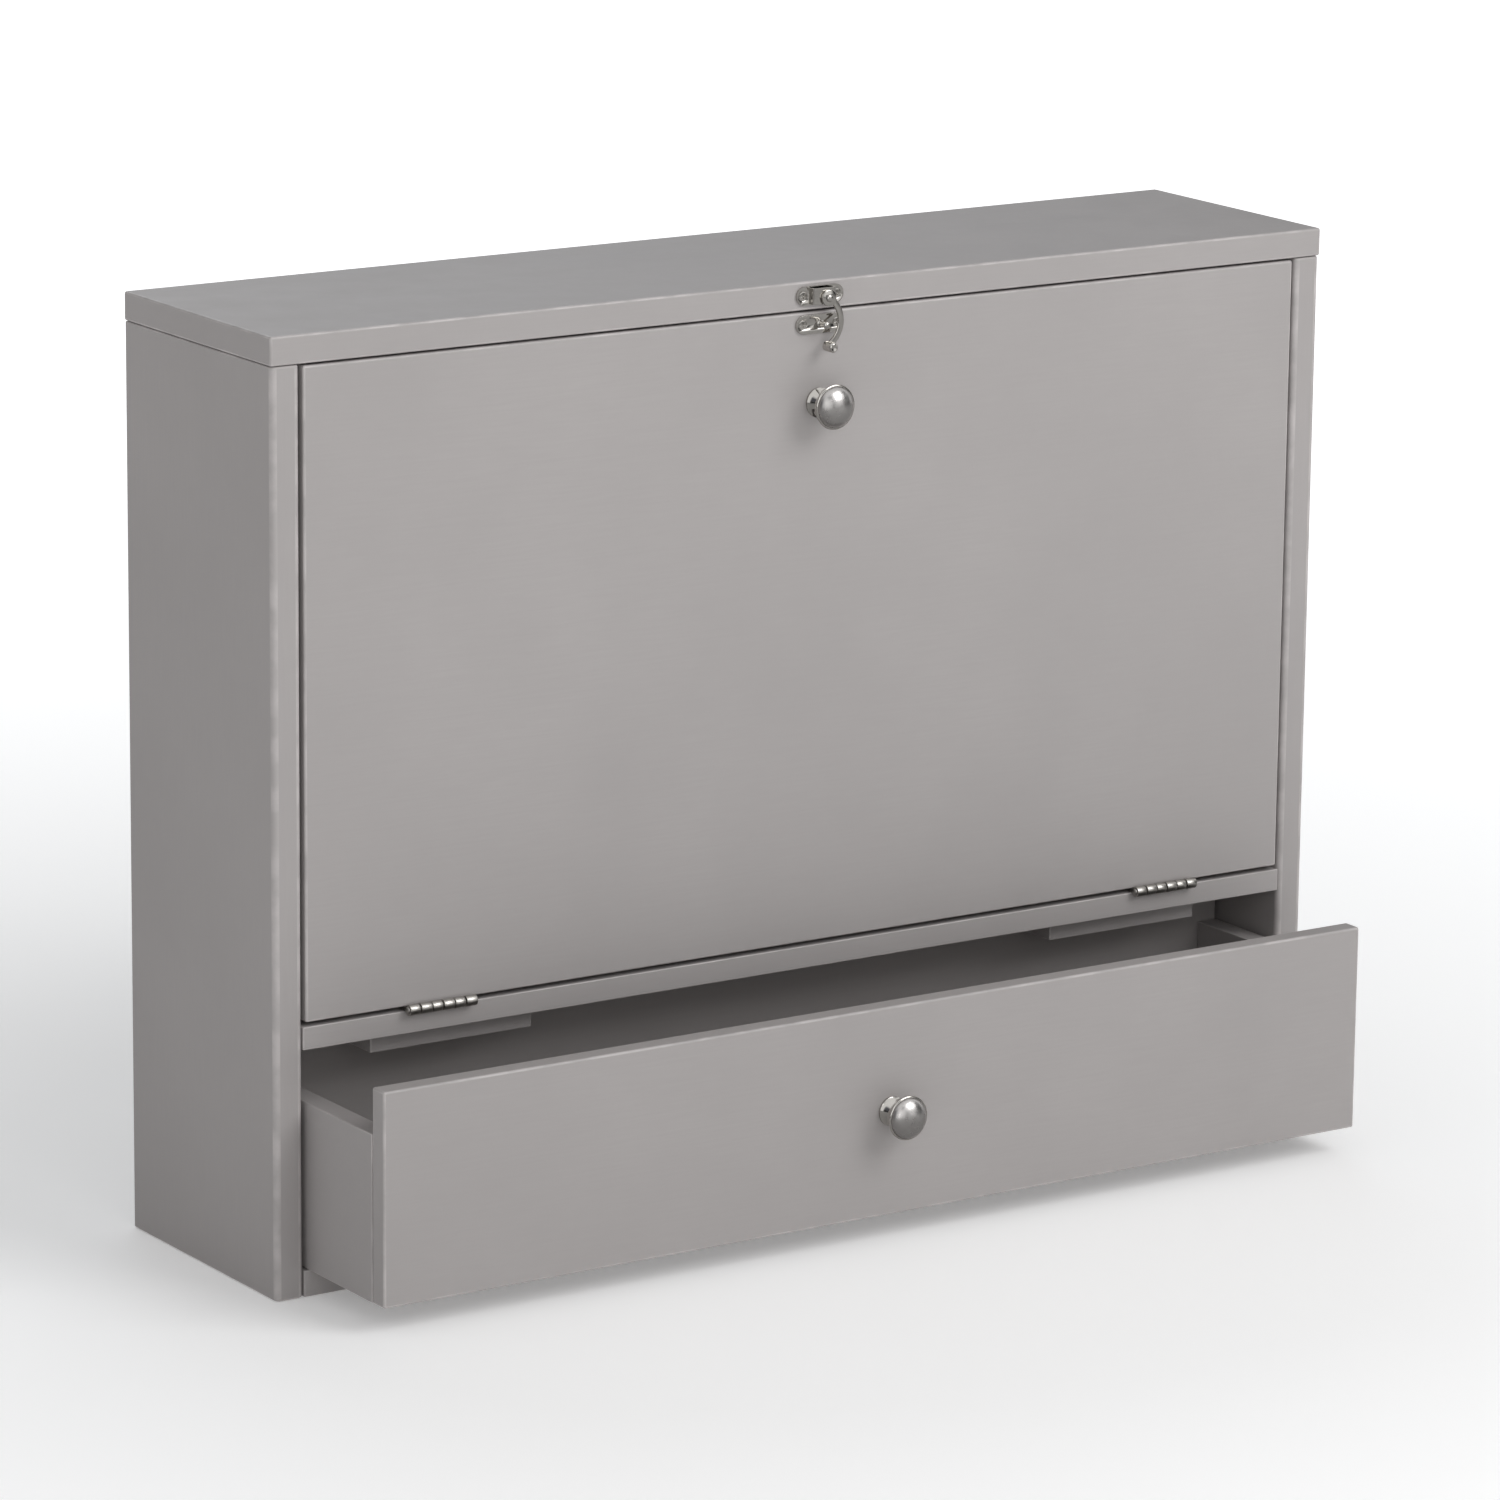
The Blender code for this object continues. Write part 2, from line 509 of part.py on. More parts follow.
def build_hook(bridge_y):
    """The rivet, and the hook that turns on it: an eye, an arm bent round the post, and a finger knob."""
    x, z = HOOK_PIVOT
    back = bridge_y - HOOK_CLEAR
    front = back - HOOK_T
    under_head = 0.2 * MM
    tail = under_head + HOOK_T + HOOK_CLEAR + SHEET_T + under_head
    rivet = [(0, RIVET_DOME), (RIVET_HEAD_R * 0.6, RIVET_DOME - 0.15 * MM), (RIVET_HEAD_R, 0), (RIVET_R, 0),
             (RIVET_R, -tail), (RIVET_HEAD_R, -tail), (RIVET_HEAD_R, -tail - 0.7 * MM), (0, -tail - 0.7 * MM)]
    turned("latch_rivet", rivet, (x, front - under_head, z), (0, -1, 0), NICKEL)

    axis = joint_empty("latch_hook_axis", (x, back, z))
    cx, cz = x + HOOK_ARC_CENTRE[0], z + HOOK_ARC_CENTRE[1]
    radius = math.hypot(*HOOK_ARC_CENTRE)
    start = math.degrees(math.atan2(-HOOK_ARC_CENTRE[1], -HOOK_ARC_CENTRE[0]))
    angles = [math.radians(start + (HOOK_ARC_END - start) * i / HOOK_ARC_STEPS) for i in range(HOOK_ARC_STEPS + 1)]
    outline = [(cx + r * math.cos(a), cz + r * math.sin(a))
               for r, order in ((radius + HOOK_ARM_W / 2, angles), (radius - HOOK_ARM_W / 2, angles[::-1]))
               for a in order]
    arm = plate(bmesh.new(), outline, front + 0.05 * MM, back - 0.05 * MM)
    hook = to_object("latch_hook", arm, NICKEL, axis, (x, back, z))
    ends = rod(bmesh.new(), (x, front, z), (0, 1, 0), HOOK_EYE_R, HOOK_T)
    finger = [(0, FINGER_L), (FINGER_R - 0.5 * MM, FINGER_L), (FINGER_R, FINGER_L - 0.5 * MM), (FINGER_R, 0), (0, 0)]
    finger_at = (cx + radius * math.cos(angles[-1]), back, cz + radius * math.sin(angles[-1]))
    turned_into(ends, finger, finger_at, (0, -1, 0))
    join(hook, ends, "eye_and_finger")
    cut(hook, rod(bmesh.new(), (x, front - THROUGH, z), (0, 1, 0), RIVET_R + RUNNING, HOOK_T + 2 * THROUGH), "eye")


def build_catch(door, door_axis):
    """The plate on the drop front and the post that the hook closes round."""
    catch, holes = latch_plate("catch_plate", CATCH_Z, door, door_axis)
    rod(holes, (POST_X, FITTING_Y - LATCH_T - THROUGH, CATCH_Z), (0, 1, 0), POST_TAIL_R + RUNNING,
        LATCH_T + 2 * THROUGH)
    cut(catch, holes, "screw_and_post_holes")
    foot = LATCH_T + 0.2 * MM
    post = [(0, POST_L), (POST_HEAD_R * 0.6, POST_L - 0.25 * MM), (POST_HEAD_R, POST_L - 1 * MM),
            (POST_HEAD_R, POST_L - 1.6 * MM), (POST_R, POST_L - 2 * MM), (POST_R, foot), (POST_TAIL_R, foot),
            (POST_TAIL_R, -POST_TAIL_L), (0, -POST_TAIL_L)]
    turned("catch_post", post, (POST_X, FITTING_Y, CATCH_Z), (0, -1, 0), NICKEL, door_axis)
    tail_hole = rod(bmesh.new(), (POST_X, FITTING_Y - THROUGH, CATCH_Z), (0, 1, 0), POST_TAIL_R + SCREW_CLEAR,
                    POST_TAIL_L + THROUGH + SCREW_END_CLEAR)
    cut(door, tail_hole, "post_hole")


# ---------------------------------------------------------------- stays

def stay_link(name, x, start, end, parent):
    """A flat bar with round ends and a hole at each end, between two pivots given as (y, z)."""
    (y0, z0), (y1, z1) = start, end
    length = math.hypot(y1 - y0, z1 - z0)
    along = Vector((0, (y1 - y0) / length, (z1 - z0) / length))
    across = Vector((0, -along.z, along.y))
    bm = bmesh.new()
    near, far = [], []
    for u, v in obround(length / 2, 0, length + STAY_W, STAY_W, steps=8):
        point = Vector((0, y0, z0)) + along * u + across * v
        near.append(bm.verts.new(point + Vector((x, 0, 0))))
        far.append(bm.verts.new(point + Vector((x + STAY_T, 0, 0))))
    bm.faces.new(near)
    bm.faces.new(far[::-1])
    for i in range(len(near)):
        j = (i + 1) % len(near)
        bm.faces.new((near[i], far[i], far[j], near[j]))
    link = to_object(name, bm, STEEL, parent, (x, y0, z0))
    holes = bmesh.new()
    for y, z in (start, end):
        rod(holes, (x - THROUGH, y, z), (1, 0, 0), STAY_STUD_R + RUNNING, STAY_T + 2 * THROUGH)
    cut(link, holes, "pivot_holes")


def stud(bm, x, pivot, side):
    """Add a headed stud that starts inside its plate, at x, and carries one link on the given side."""
    grip = STAY_PLATE_T / 2 + STAY_T + 1.6 * STAY_LAYER_GAP
    profile = [(0, 0), (STAY_STUD_R, 0), (STAY_STUD_R, grip), (STAY_HEAD_R, grip),
               (STAY_HEAD_R, grip + STAY_HEAD_H), (0, grip + STAY_HEAD_H + 0.2 * MM)]
    return turned_into(bm, profile, (x, *pivot), (side, 0, 0))


def build_wall_plate(word, side, wall, pivot):
    """The plate that is screwed inside a side of the case; its stud carries the rear link."""
    y, z = pivot
    inner_x = side * (wall - STAY_PLATE_T)
    bm = bmesh.new()
    add_box(bm, (side * wall, y - WALL_PLATE_L / 2, z - WALL_PLATE_H / 2),
            (inner_x, y + WALL_PLATE_L / 2, z + WALL_PLATE_H / 2))
    made = to_object(f"{word}_stay_wall_plate", bm, STEEL, None, (side * wall, y, z))
    spots = [(inner_x, y, z + up * WALL_PLATE_SCREW_UP) for up in (-1, 1)]
    holes = plate_screws(f"{word}_stay_wall", spots, (side, 0, 0), bpy.data.objects[f"{word}_side"])
    cut(made, holes, "screw_holes")
    join(made, stud(bmesh.new(), side * (wall - STAY_PLATE_T / 2), pivot, -side), "stud")


def build_door_bracket(word, side, ear, pivot, door, door_axis):
    """The angle bracket that is screwed behind the drop front; its stud carries the front link."""
    y, z = pivot
    door_face = FRONT_Y + DOOR_T + SEAM / 3
    half = BRACKET_H / 2
    bm = bmesh.new()
    add_box(bm, (side * ear, door_face, z - half), (side * (ear + STAY_PLATE_T), y + BRACKET_PAST_STUD, z + half))
    made = to_object(f"{word}_stay_door_bracket", bm, STEEL, door_axis, (side * ear, door_face, z))
    foot = bmesh.new()
    add_box(foot, (side * (ear + STAY_PLATE_T / 2), door_face, z - half),
            (side * (ear - BRACKET_FOOT), door_face + STAY_PLATE_T, z + half))
    stud(foot, side * (ear + STAY_PLATE_T / 2), pivot, side)
    join(made, foot, "foot_and_stud")
    spots = [(side * (ear - BRACKET_SCREW_IN), door_face + STAY_PLATE_T, z + up * BRACKET_SCREW_UP) for up in (-1, 1)]
    cut(made, plate_screws(f"{word}_stay_door", spots, (0, -1, 0), door, door_axis), "screw_holes")


def build_stays(door, door_axis):
    """A two-link folding stay at each side of the writing flap."""
    back, up = STAY_CABINET_PIVOT
    door_back, door_up = STAY_DOOR_PIVOT
    cabinet_pivot = (PIN_Y + back, PIN_Z + up)
    door_pivot = (PIN_Y + door_back, PIN_Z + door_up)
    elbow = (PIN_Y + back + door_back, PIN_Z + up + door_up)
    wall = INNER_X - SEAM / 3
    rear_x = wall - STAY_PLATE_T - STAY_LAYER_GAP - STAY_T
    front_x = rear_x - STAY_LAYER_GAP - STAY_T
    ear = front_x - STAY_LAYER_GAP - STAY_PLATE_T
    rivet_clear = STAY_LAYER_GAP / 2
    grip = 2 * STAY_T + STAY_LAYER_GAP + 2 * rivet_clear
    rivet = [(0, -0.6 * MM), (STAY_HEAD_R, -0.4 * MM), (STAY_HEAD_R, 0), (STAY_STUD_R, 0), (STAY_STUD_R, grip),
             (STAY_HEAD_R, grip), (STAY_HEAD_R, grip + 0.4 * MM), (0, grip + 0.6 * MM)]
    for side, word in ((-1, "left"), (1, "right")):
        build_wall_plate(word, side, wall, cabinet_pivot)
        build_door_bracket(word, side, ear, door_pivot, door, door_axis)
        rear_axis = joint_empty(f"{word}_stay_rear_axis", (side * rear_x, *cabinet_pivot))
        front_axis = joint_empty(f"{word}_stay_front_axis", (side * front_x, *door_pivot))
        for name, x, start, axis in (("rear", rear_x, cabinet_pivot, rear_axis),
                                     ("front", front_x, door_pivot, front_axis)):
            stay_link(f"{word}_stay_{name}_link", x if side > 0 else -x - STAY_T, start, elbow, axis)
        turned(f"{word}_stay_elbow_rivet", rivet, (side * (rear_x + STAY_T + rivet_clear), *elbow), (-side, 0, 0),
               STEEL, rear_axis)


# ---------------------------------------------------------------- moving pieces

def build_drop_front(axis):
    return board("drop_front_panel", (-DOOR_HALF, FRONT_Y, DOOR_BOTTOM), (DOOR_HALF, FRONT_Y + DOOR_T, DOOR_TOP),
                 EASED_EDGE, parent=axis)


def build_drawer():
    """An open-topped box; its tall back meets the hinge blocks and keeps it from being pulled right out."""
    slide = joint_empty("drawer_slide", (0, DRAWER_FRONT_Y, DRAWER_Z))
    top = DRAWER_Z + DRAWER_FRONT_H
    front_back = DRAWER_FRONT_Y + DRAWER_FRONT_T
    back_front = DRAWER_BACK_Y - DRAWER_WALL_T
    front = board("drawer_front", (-DRAWER_HALF, DRAWER_FRONT_Y, DRAWER_Z), (DRAWER_HALF, front_back, top),
                  EASED_EDGE, parent=slide)
    walls = [front]
    for side, word in ((-1, "left"), (1, "right")):
        outer, inner = side * DRAWER_HALF, side * (DRAWER_HALF - DRAWER_WALL_T)
        walls.append(board(f"drawer_{word}_side", (min(outer, inner), front_back + SEAM, DRAWER_Z),
                           (max(outer, inner), back_front - SEAM, DRAWER_Z + DRAWER_SIDE_H), parent=slide))
    walls.append(board("drawer_back", (-DRAWER_HALF, back_front, DRAWER_Z), (DRAWER_HALF, DRAWER_BACK_Y, top),
                       parent=slide))
    half = DRAWER_HALF - DRAWER_WALL_T + GROOVE_DEPTH
    floor = DRAWER_Z + DRAWER_BOTTOM_LIFT
    lo = Vector((-half, front_back - GROOVE_DEPTH, floor))
    hi = Vector((half, back_front + GROOVE_DEPTH, floor + DRAWER_BOTTOM_T))
    room = Vector((GROOVE_CLEAR, GROOVE_CLEAR, GROOVE_CLEAR))
    for wall in walls:
        groove = bmesh.new()
        add_box(groove, lo - room, hi + room)
        cut(wall, groove, "bottom_groove")
    board("drawer_bottom", lo, hi, 0.2 * MM, parent=slide, segments=1)
    build_knob("drawer_knob", DRAWER_FRONT_Y, DRAWER_KNOB_Z, DRAWER_FRONT_T, front, slide)


def main():
    clear_file()
    build_cabinet()
    door_axis = joint_empty("drop_front_axis", (0, PIN_Y, PIN_Z))
    door = build_drop_front(door_axis)
    build_hinges(bpy.data.objects["fixed_shelf"], door, door_axis)
    build_knob("drop_front_knob", FRONT_Y, DOOR_KNOB_Z, DOOR_T, door, door_axis)
    build_hook(build_bridge(bpy.data.objects["top_panel"]))
    build_catch(door, door_axis)
    build_stays(door, door_axis)
    build_drawer()
    bpy.context.view_layer.update()


main()
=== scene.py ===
"""Looks of a painted wall-mounted secretary desk with nickel fittings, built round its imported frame.

Every piece takes its place from a node of the frame and is modelled with Blender's own tools: a primitive at its
size and place, shaped in edit mode, and finished with modifiers. Lengths are metres, +Z is up, -Y is the front."""

from __future__ import annotations

import json
import logging
import math
from collections.abc import Callable
from dataclasses import dataclass
from enum import Enum

import bpy
from mathutils import Matrix, Vector

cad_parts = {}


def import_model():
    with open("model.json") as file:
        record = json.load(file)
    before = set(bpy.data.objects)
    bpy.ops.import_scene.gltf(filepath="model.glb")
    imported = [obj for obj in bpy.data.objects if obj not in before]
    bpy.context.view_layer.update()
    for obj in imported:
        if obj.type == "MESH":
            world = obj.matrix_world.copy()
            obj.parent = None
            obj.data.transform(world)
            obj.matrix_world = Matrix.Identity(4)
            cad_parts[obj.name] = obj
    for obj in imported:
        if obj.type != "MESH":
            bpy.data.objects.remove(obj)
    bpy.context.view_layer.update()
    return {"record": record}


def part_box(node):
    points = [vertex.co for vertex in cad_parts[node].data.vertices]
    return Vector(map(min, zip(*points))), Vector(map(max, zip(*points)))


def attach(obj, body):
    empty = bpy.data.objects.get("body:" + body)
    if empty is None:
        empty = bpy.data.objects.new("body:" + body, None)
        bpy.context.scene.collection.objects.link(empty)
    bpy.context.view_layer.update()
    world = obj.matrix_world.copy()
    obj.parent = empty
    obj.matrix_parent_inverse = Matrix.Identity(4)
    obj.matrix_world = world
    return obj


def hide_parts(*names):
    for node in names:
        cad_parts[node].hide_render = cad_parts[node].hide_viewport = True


MM = 0.001
LOG = logging.getLogger("desk")
Colour = tuple[float, float, float]
Point = tuple[float, float, float]


class Body(Enum):
    """The rigid bodies that pieces move with."""

    CABINET = "cabinet"
    DROP_FRONT = "drop_front"
    HOOK = "latch_hook"
    DRAWER = "drawer"
    LEFT_STAY_REAR = "left_stay_rear"
    LEFT_STAY_FRONT = "left_stay_front"
    RIGHT_STAY_REAR = "right_stay_rear"
    RIGHT_STAY_FRONT = "right_stay_front"

    @property
    def mirrored(self) -> Body:
        """The body that does the same on the right-hand side."""
        return Body(self.value.replace("left", "right"))


class Toward(Enum):
    """Directions that a turned piece can face."""

    FRONT = (0, -1, 0)
    BACK = (0, 1, 0)
    RIGHT = (1, 0, 0)
    LEFT = (-1, 0, 0)
    UP = (0, 0, 1)
    DOWN = (0, 0, -1)

    @property
    def vector(self) -> Vector:
        """The direction as a vector."""
        return Vector(self.value)


# ---------------------------------------------------------------- finishes

class NodeTree:
    """A short way to write the nodes and links of a material or of the surround."""

    def __init__(self, owner: bpy.types.Material | bpy.types.World) -> None:
        """Open the node tree of a new material or world.

        Args:
            owner: The material or world, just made.
        """
        owner.use_nodes = True
        self.owner = owner
        self.tree = owner.node_tree

    def add(self, kind: str, settings: dict | None = None, **inputs: object) -> bpy.types.Node:
        """Add a node.

        Args:
            kind: The node's type, without ShaderNode.
            settings: Properties of the node itself.
            **inputs: Socket values or sockets to link, by name with _ for each space, or by number after a _.

        Returns:
            The new node.
        """
        node = self.tree.nodes.new("ShaderNode" + kind)
        for key, value in (settings or {}).items():
            setattr(node, key, value)
        for key, value in inputs.items():
            self.feed(node.inputs[int(key[1:]) if key[1:].isdigit() else key.replace("_", " ")], value)
        return node

    def feed(self, socket: bpy.types.NodeSocket, value: object) -> None:
        """Set a socket to a value, or link another node's socket to it.

        Args:
            socket: The input to set.
            value: A plain value, or another node's output.
        """
        if isinstance(value, bpy.types.NodeSocket):
            self.tree.links.new(value, socket)
        else:
            socket.default_value = value

    def noise(self, scale: float, detail: float = 4.0, stretch: Point = (1, 1, 1)) -> bpy.types.NodeSocket:
        """Noise on the piece's own coordinates, squeezed along chosen axes.

        Args:
            scale: How fine the noise is.
            detail: How many finer layers it has.
            stretch: The scale of each axis.

        Returns:
            The noise's output, a value for each point.
        """
        place = self.add("TexCoord").outputs["Object"]
        mapping = self.add("Mapping", Vector=place, Scale=stretch)
        return self.add("TexNoise", Vector=mapping.outputs[0], Scale=scale, Detail=detail).outputs[0]

    def spread(self, value: bpy.types.NodeSocket, low: float, high: float, start: float = 0.3,
               end: float = 0.7) -> bpy.types.NodeSocket:
        """Map a part of a value's range onto a range of values."""
        ranged = self.add("MapRange", Value=value, From_Min=start, From_Max=end, To_Min=low, To_Max=high)
        return ranged.outputs[0]

    def mix(self, share: bpy.types.NodeSocket, first: Colour | bpy.types.NodeSocket,
            second: Colour | bpy.types.NodeSocket) -> bpy.types.NodeSocket:
        """Mix two colours by a share from 0 to 1.

        Args:
            share: How much of the second colour there is.
            first: The colour at share 0.
            second: The colour at share 1.

        Returns:
            The mixed colour's output.
        """
        node = self.add("Mix", {"data_type": "RGBA"}, _0=share)
        for number, colour in ((6, first), (7, second)):
            is_socket = isinstance(colour, bpy.types.NodeSocket)
            self.feed(node.inputs[number], colour if is_socket else (*colour, 1))
        return node.outputs[2]

    def math(self, operation: str, first: object, second: object = 0.0) -> bpy.types.NodeSocket:
        """One step of arithmetic."""
        return self.add("Math", {"operation": operation}, _0=first, _1=second).outputs[0]

    def bump(self, height: bpy.types.NodeSocket, distance: float, strength: float = 1.0,
             below: bpy.types.NodeSocket | None = None) -> bpy.types.NodeSocket:
        """A bump of a given depth, on top of another bump.

        Args:
            height: The height to raise the surface by, as a share of the distance.
            distance: How far a height of 1 raises it.
            strength: How strongly the bump shows.
            below: The output of a bump that this one lies on, if there is one.

        Returns:
            The bumped normal.
        """
        node = self.add("Bump", Height=height, Distance=distance, Strength=strength)
        if below:
            self.feed(node.inputs["Normal"], below)
        return node.outputs[0]


def tinted(colour: Colour, share: float) -> Colour:
    """A colour made lighter or darker by a share."""
    return tuple(channel * share for channel in colour)


@dataclass(frozen=True)
class SatinPaint:
    """Sprayed satin paint on board: faint patches and grain, orange peel, and a painted highlight of lighter colour
    along the arrises.
    """

    colour: Colour = (0.355, 0.335, 0.330)
    patchiness: float = 0.035
    arris_highlight: float = 1.32
    roughness: float = 0.46
    peel_depth: float = 0.03 * MM
    grain_depth: float = 0.05 * MM
    grain_along: Point = (1.0, 22.0, 22.0)

    def material(self, name: str) -> bpy.types.Material:
        """Build the material.

        Args:
            name: The material's name.

        Returns:
            The finished material.
        """
        nodes = NodeTree(bpy.data.materials.new(name))
        shader = nodes.tree.nodes["Principled BSDF"]
        patches = nodes.spread(nodes.noise(9.0, 5.0), 0, 1)
        body = nodes.mix(patches, tinted(self.colour, 1 - self.patchiness), tinted(self.colour, 1 + self.patchiness))
        streaks = nodes.noise(34.0, 5.0, self.grain_along)
        body = nodes.mix(nodes.spread(streaks, 0, 0.35), body, tinted(self.colour, 0.93))
        # Painted highlight: the arris faces get a lighter colour, broken up by noise, and the same mask lowers the
        # roughness there a little.
        arris = nodes.add("Attribute", {"attribute_name": "arris"}).outputs["Fac"]
        highlight_patches = nodes.spread(nodes.noise(55.0, 6.0), 0.25, 1.0, 0.42, 0.62)
        painted_highlight_mask = nodes.math("MULTIPLY", arris, highlight_patches)
        nodes.feed(shader.inputs["Base Color"], nodes.mix(painted_highlight_mask, body, tinted(self.colour, self.arris_highlight)))
        cloudy = nodes.spread(nodes.noise(38.0, 6.0), self.roughness - 0.05, self.roughness + 0.06)
        nodes.feed(shader.inputs["Roughness"], nodes.math("SUBTRACT", cloudy, nodes.math("MULTIPLY", painted_highlight_mask, 0.08)))
        grain = nodes.bump(streaks, self.grain_depth, 0.35)
        nodes.feed(shader.inputs["Normal"], nodes.bump(nodes.noise(900.0, 2.0), self.peel_depth, 0.5, grain))
        return nodes.owner


@dataclass(frozen=True)
class Metal:
    """Plated metal, polished or satin, with fine hairlines and a little tarnish in patches."""

    colour: Colour
    roughness: float
    unevenness: float
    line_depth: float = 0.002 * MM
    line_stretch: Point = (1.0, 1.0, 14.0)

    def material(self, name: str) -> bpy.types.Material:
        """Build the material.

        Args:
            name: The material's name.

        Returns:
            The finished material.
        """
        nodes = NodeTree(bpy.data.materials.new(name))
        shader = nodes.tree.nodes["Principled BSDF"]
        tarnish = nodes.spread(nodes.noise(180.0, 4.0), 0, 1)
        nodes.feed(shader.inputs["Base Color"], nodes.mix(tarnish, tinted(self.colour, 0.9), self.colour))
        shader.inputs["Metallic"].default_value = 1.0
        smears = nodes.noise(420.0, 3.0)
        low = max(0.03, self.roughness - self.unevenness)
        nodes.feed(shader.inputs["Roughness"], nodes.spread(smears, low, self.roughness + self.unevenness))
        lines = nodes.noise(1600.0, 2.0, self.line_stretch)
        nodes.feed(shader.inputs["Normal"], nodes.bump(lines, self.line_depth, 0.5))
        return nodes.owner


class Finish(Enum):
    """The finishes of the desk, each with the frame's slot that it belongs to."""

    PAINT = ("paint", SatinPaint())
    PAINT_UPRIGHT = ("paint", SatinPaint(grain_along=(22.0, 22.0, 1.0)))
    POLISHED = ("polished_nickel", Metal((0.56, 0.54, 0.51), 0.09, 0.03))
    SATIN_FACE = ("polished_nickel", Metal((0.50, 0.485, 0.475), 0.31, 0.05))
    SATIN = ("satin_nickel", Metal((0.44, 0.425, 0.40), 0.32, 0.05, line_stretch=(1.0, 14.0, 14.0)))
    STEEL = ("steel", Metal((0.42, 0.41, 0.39), 0.33, 0.07))

    @property
    def slot(self) -> str:
        """The frame's material slot."""
        return self.value[0]

    @property
    def material(self) -> bpy.types.Material:
        """The material, built the first time it is asked for."""
        name = "desk_" + self.name.lower()
        return bpy.data.materials.get(name) or self.value[1].material(name)


# ---------------------------------------------------------------- modelling tools

class Bench:
    """Blender's modelling operators, used as by hand on one piece at a time."""

    @staticmethod
    def clear() -> None:
        """Leave nothing selected, in object mode."""
        if bpy.context.object and bpy.context.object.mode != "OBJECT":
            bpy.ops.object.mode_set(mode="OBJECT")
        bpy.ops.object.select_all(action="DESELECT")

    @staticmethod
    def take(piece: bpy.types.Object) -> bpy.types.Object:
        """Make a piece the only selected and active one.

        Args:
            piece: The piece to select.

        Returns:
            The same piece.
        """
        Bench.clear()
        piece.select_set(True)
        bpy.context.view_layer.objects.active = piece
        return piece

    @staticmethod
    def settle(name: str) -> bpy.types.Object:
        """Name the active piece and apply its place, turn and size to its mesh.

        Args:
            name: The name of the piece and of its mesh.

        Returns:
            The piece, unturned, unscaled and at the origin.
        """
        piece = bpy.context.object
        piece.name = piece.data.name = name
        Bench.take(piece)
        bpy.ops.object.transform_apply(location=True, rotation=True, scale=True)
        return piece

    @staticmethod
    def block(name: str, low: Vector | Point, high: Vector | Point) -> bpy.types.Object:
        """A block between two corners.

        Args:
            name: The piece's name.
            low: Its lowest corner.
            high: Its highest corner.

        Returns:
            The block.
        """
        low, high = Vector(low), Vector(high)
        Bench.clear()
        bpy.ops.mesh.primitive_cube_add(size=1, location=(low + high) / 2)
        bpy.context.object.scale = high - low
        return Bench.settle(name)

    @staticmethod
    def close_ends() -> None:
        """Fill the open ends of the mesh in edit mode, face it outwards and leave edit mode."""
        bpy.ops.mesh.select_all(action="DESELECT")
        bpy.ops.mesh.select_non_manifold(extend=False, use_wire=False, use_multi_face=False,
                                         use_non_contiguous=False, use_verts=False)
        bpy.ops.mesh.fill_holes(sides=0)
        bpy.ops.mesh.select_all(action="SELECT")
        bpy.ops.mesh.normals_make_consistent(inside=False)
        bpy.ops.object.mode_set(mode="OBJECT")

    @staticmethod
    def turned(name: str, profile: list[tuple[float, float]], at: Vector | Point, toward: Toward,
               steps: int = 48) -> bpy.types.Object:
        """Turn a profile round an axis, as on a lathe.

        Args:
            name: The piece's name.
            profile: (radius, height) points, from one end to the other.
            at: Where height 0 lies on the axis.
            toward: The way that height grows.
            steps: How many facets go round.

        Returns:
            The turned piece, closed at both ends.
        """
        Bench.clear()
        bpy.ops.mesh.primitive_plane_add(size=1)
        bpy.ops.object.mode_set(mode="EDIT")
        bpy.ops.mesh.select_mode(type="VERT")
        bpy.ops.mesh.select_all(action="SELECT")
        bpy.ops.mesh.merge(type="CENTER")
        here = (0.0, 0.0)
        for number, (radius, height) in enumerate(profile):
            step = (radius - here[0], 0, height - here[1])
            if number == 0:
                bpy.ops.transform.translate(value=step)
            else:
                bpy.ops.mesh.extrude_region_move(TRANSFORM_OT_translate={"value": step})
            here = (radius, height)
        bpy.ops.mesh.select_all(action="SELECT")
        bpy.ops.mesh.spin(steps=steps, angle=math.tau, center=(0, 0, 0), axis=(0, 0, 1))
        bpy.ops.mesh.select_all(action="SELECT")
        bpy.ops.mesh.remove_doubles(threshold=0.001 * MM)
        Bench.close_ends()
        piece = bpy.context.object
        piece.matrix_world = Matrix.Translation(at) @ toward.vector.to_track_quat("Z", "Y").to_matrix().to_4x4()
        return Bench.settle(name)

    @staticmethod
    def rod(name: str, at: Vector | Point, toward: Toward, radius: float, length: float,
            steps: int = 40) -> bpy.types.Object:
        """A plain round bar, as a blank or a drill."""
        return Bench.turned(name, [(radius, 0), (radius, length)], at, toward, steps)

    @staticmethod
    def bevel_where(piece: bpy.types.Object, wanted: Callable[[Vector, Vector], bool], width: float,
                    segments: int) -> None:
        """Round chosen edges in edit mode.

        Args:
            piece: The piece to shape.
            wanted: Says of an edge's two end points whether it is rounded.
            width: The rounding's radius.
            segments: Its steps.
        """
        Bench.take(piece)
        bpy.ops.object.mode_set(mode="EDIT")
        bpy.ops.mesh.select_mode(type="EDGE")
        bpy.ops.mesh.select_all(action="DESELECT")
        bpy.ops.object.mode_set(mode="OBJECT")
        mesh = piece.data
        for edge in mesh.edges:
            edge.select = wanted(*(mesh.vertices[i].co for i in edge.vertices))
        bpy.ops.object.mode_set(mode="EDIT")
        bpy.ops.mesh.bevel(offset=width, segments=segments, profile=0.5, affect="EDGES")
        bpy.ops.object.mode_set(mode="OBJECT")

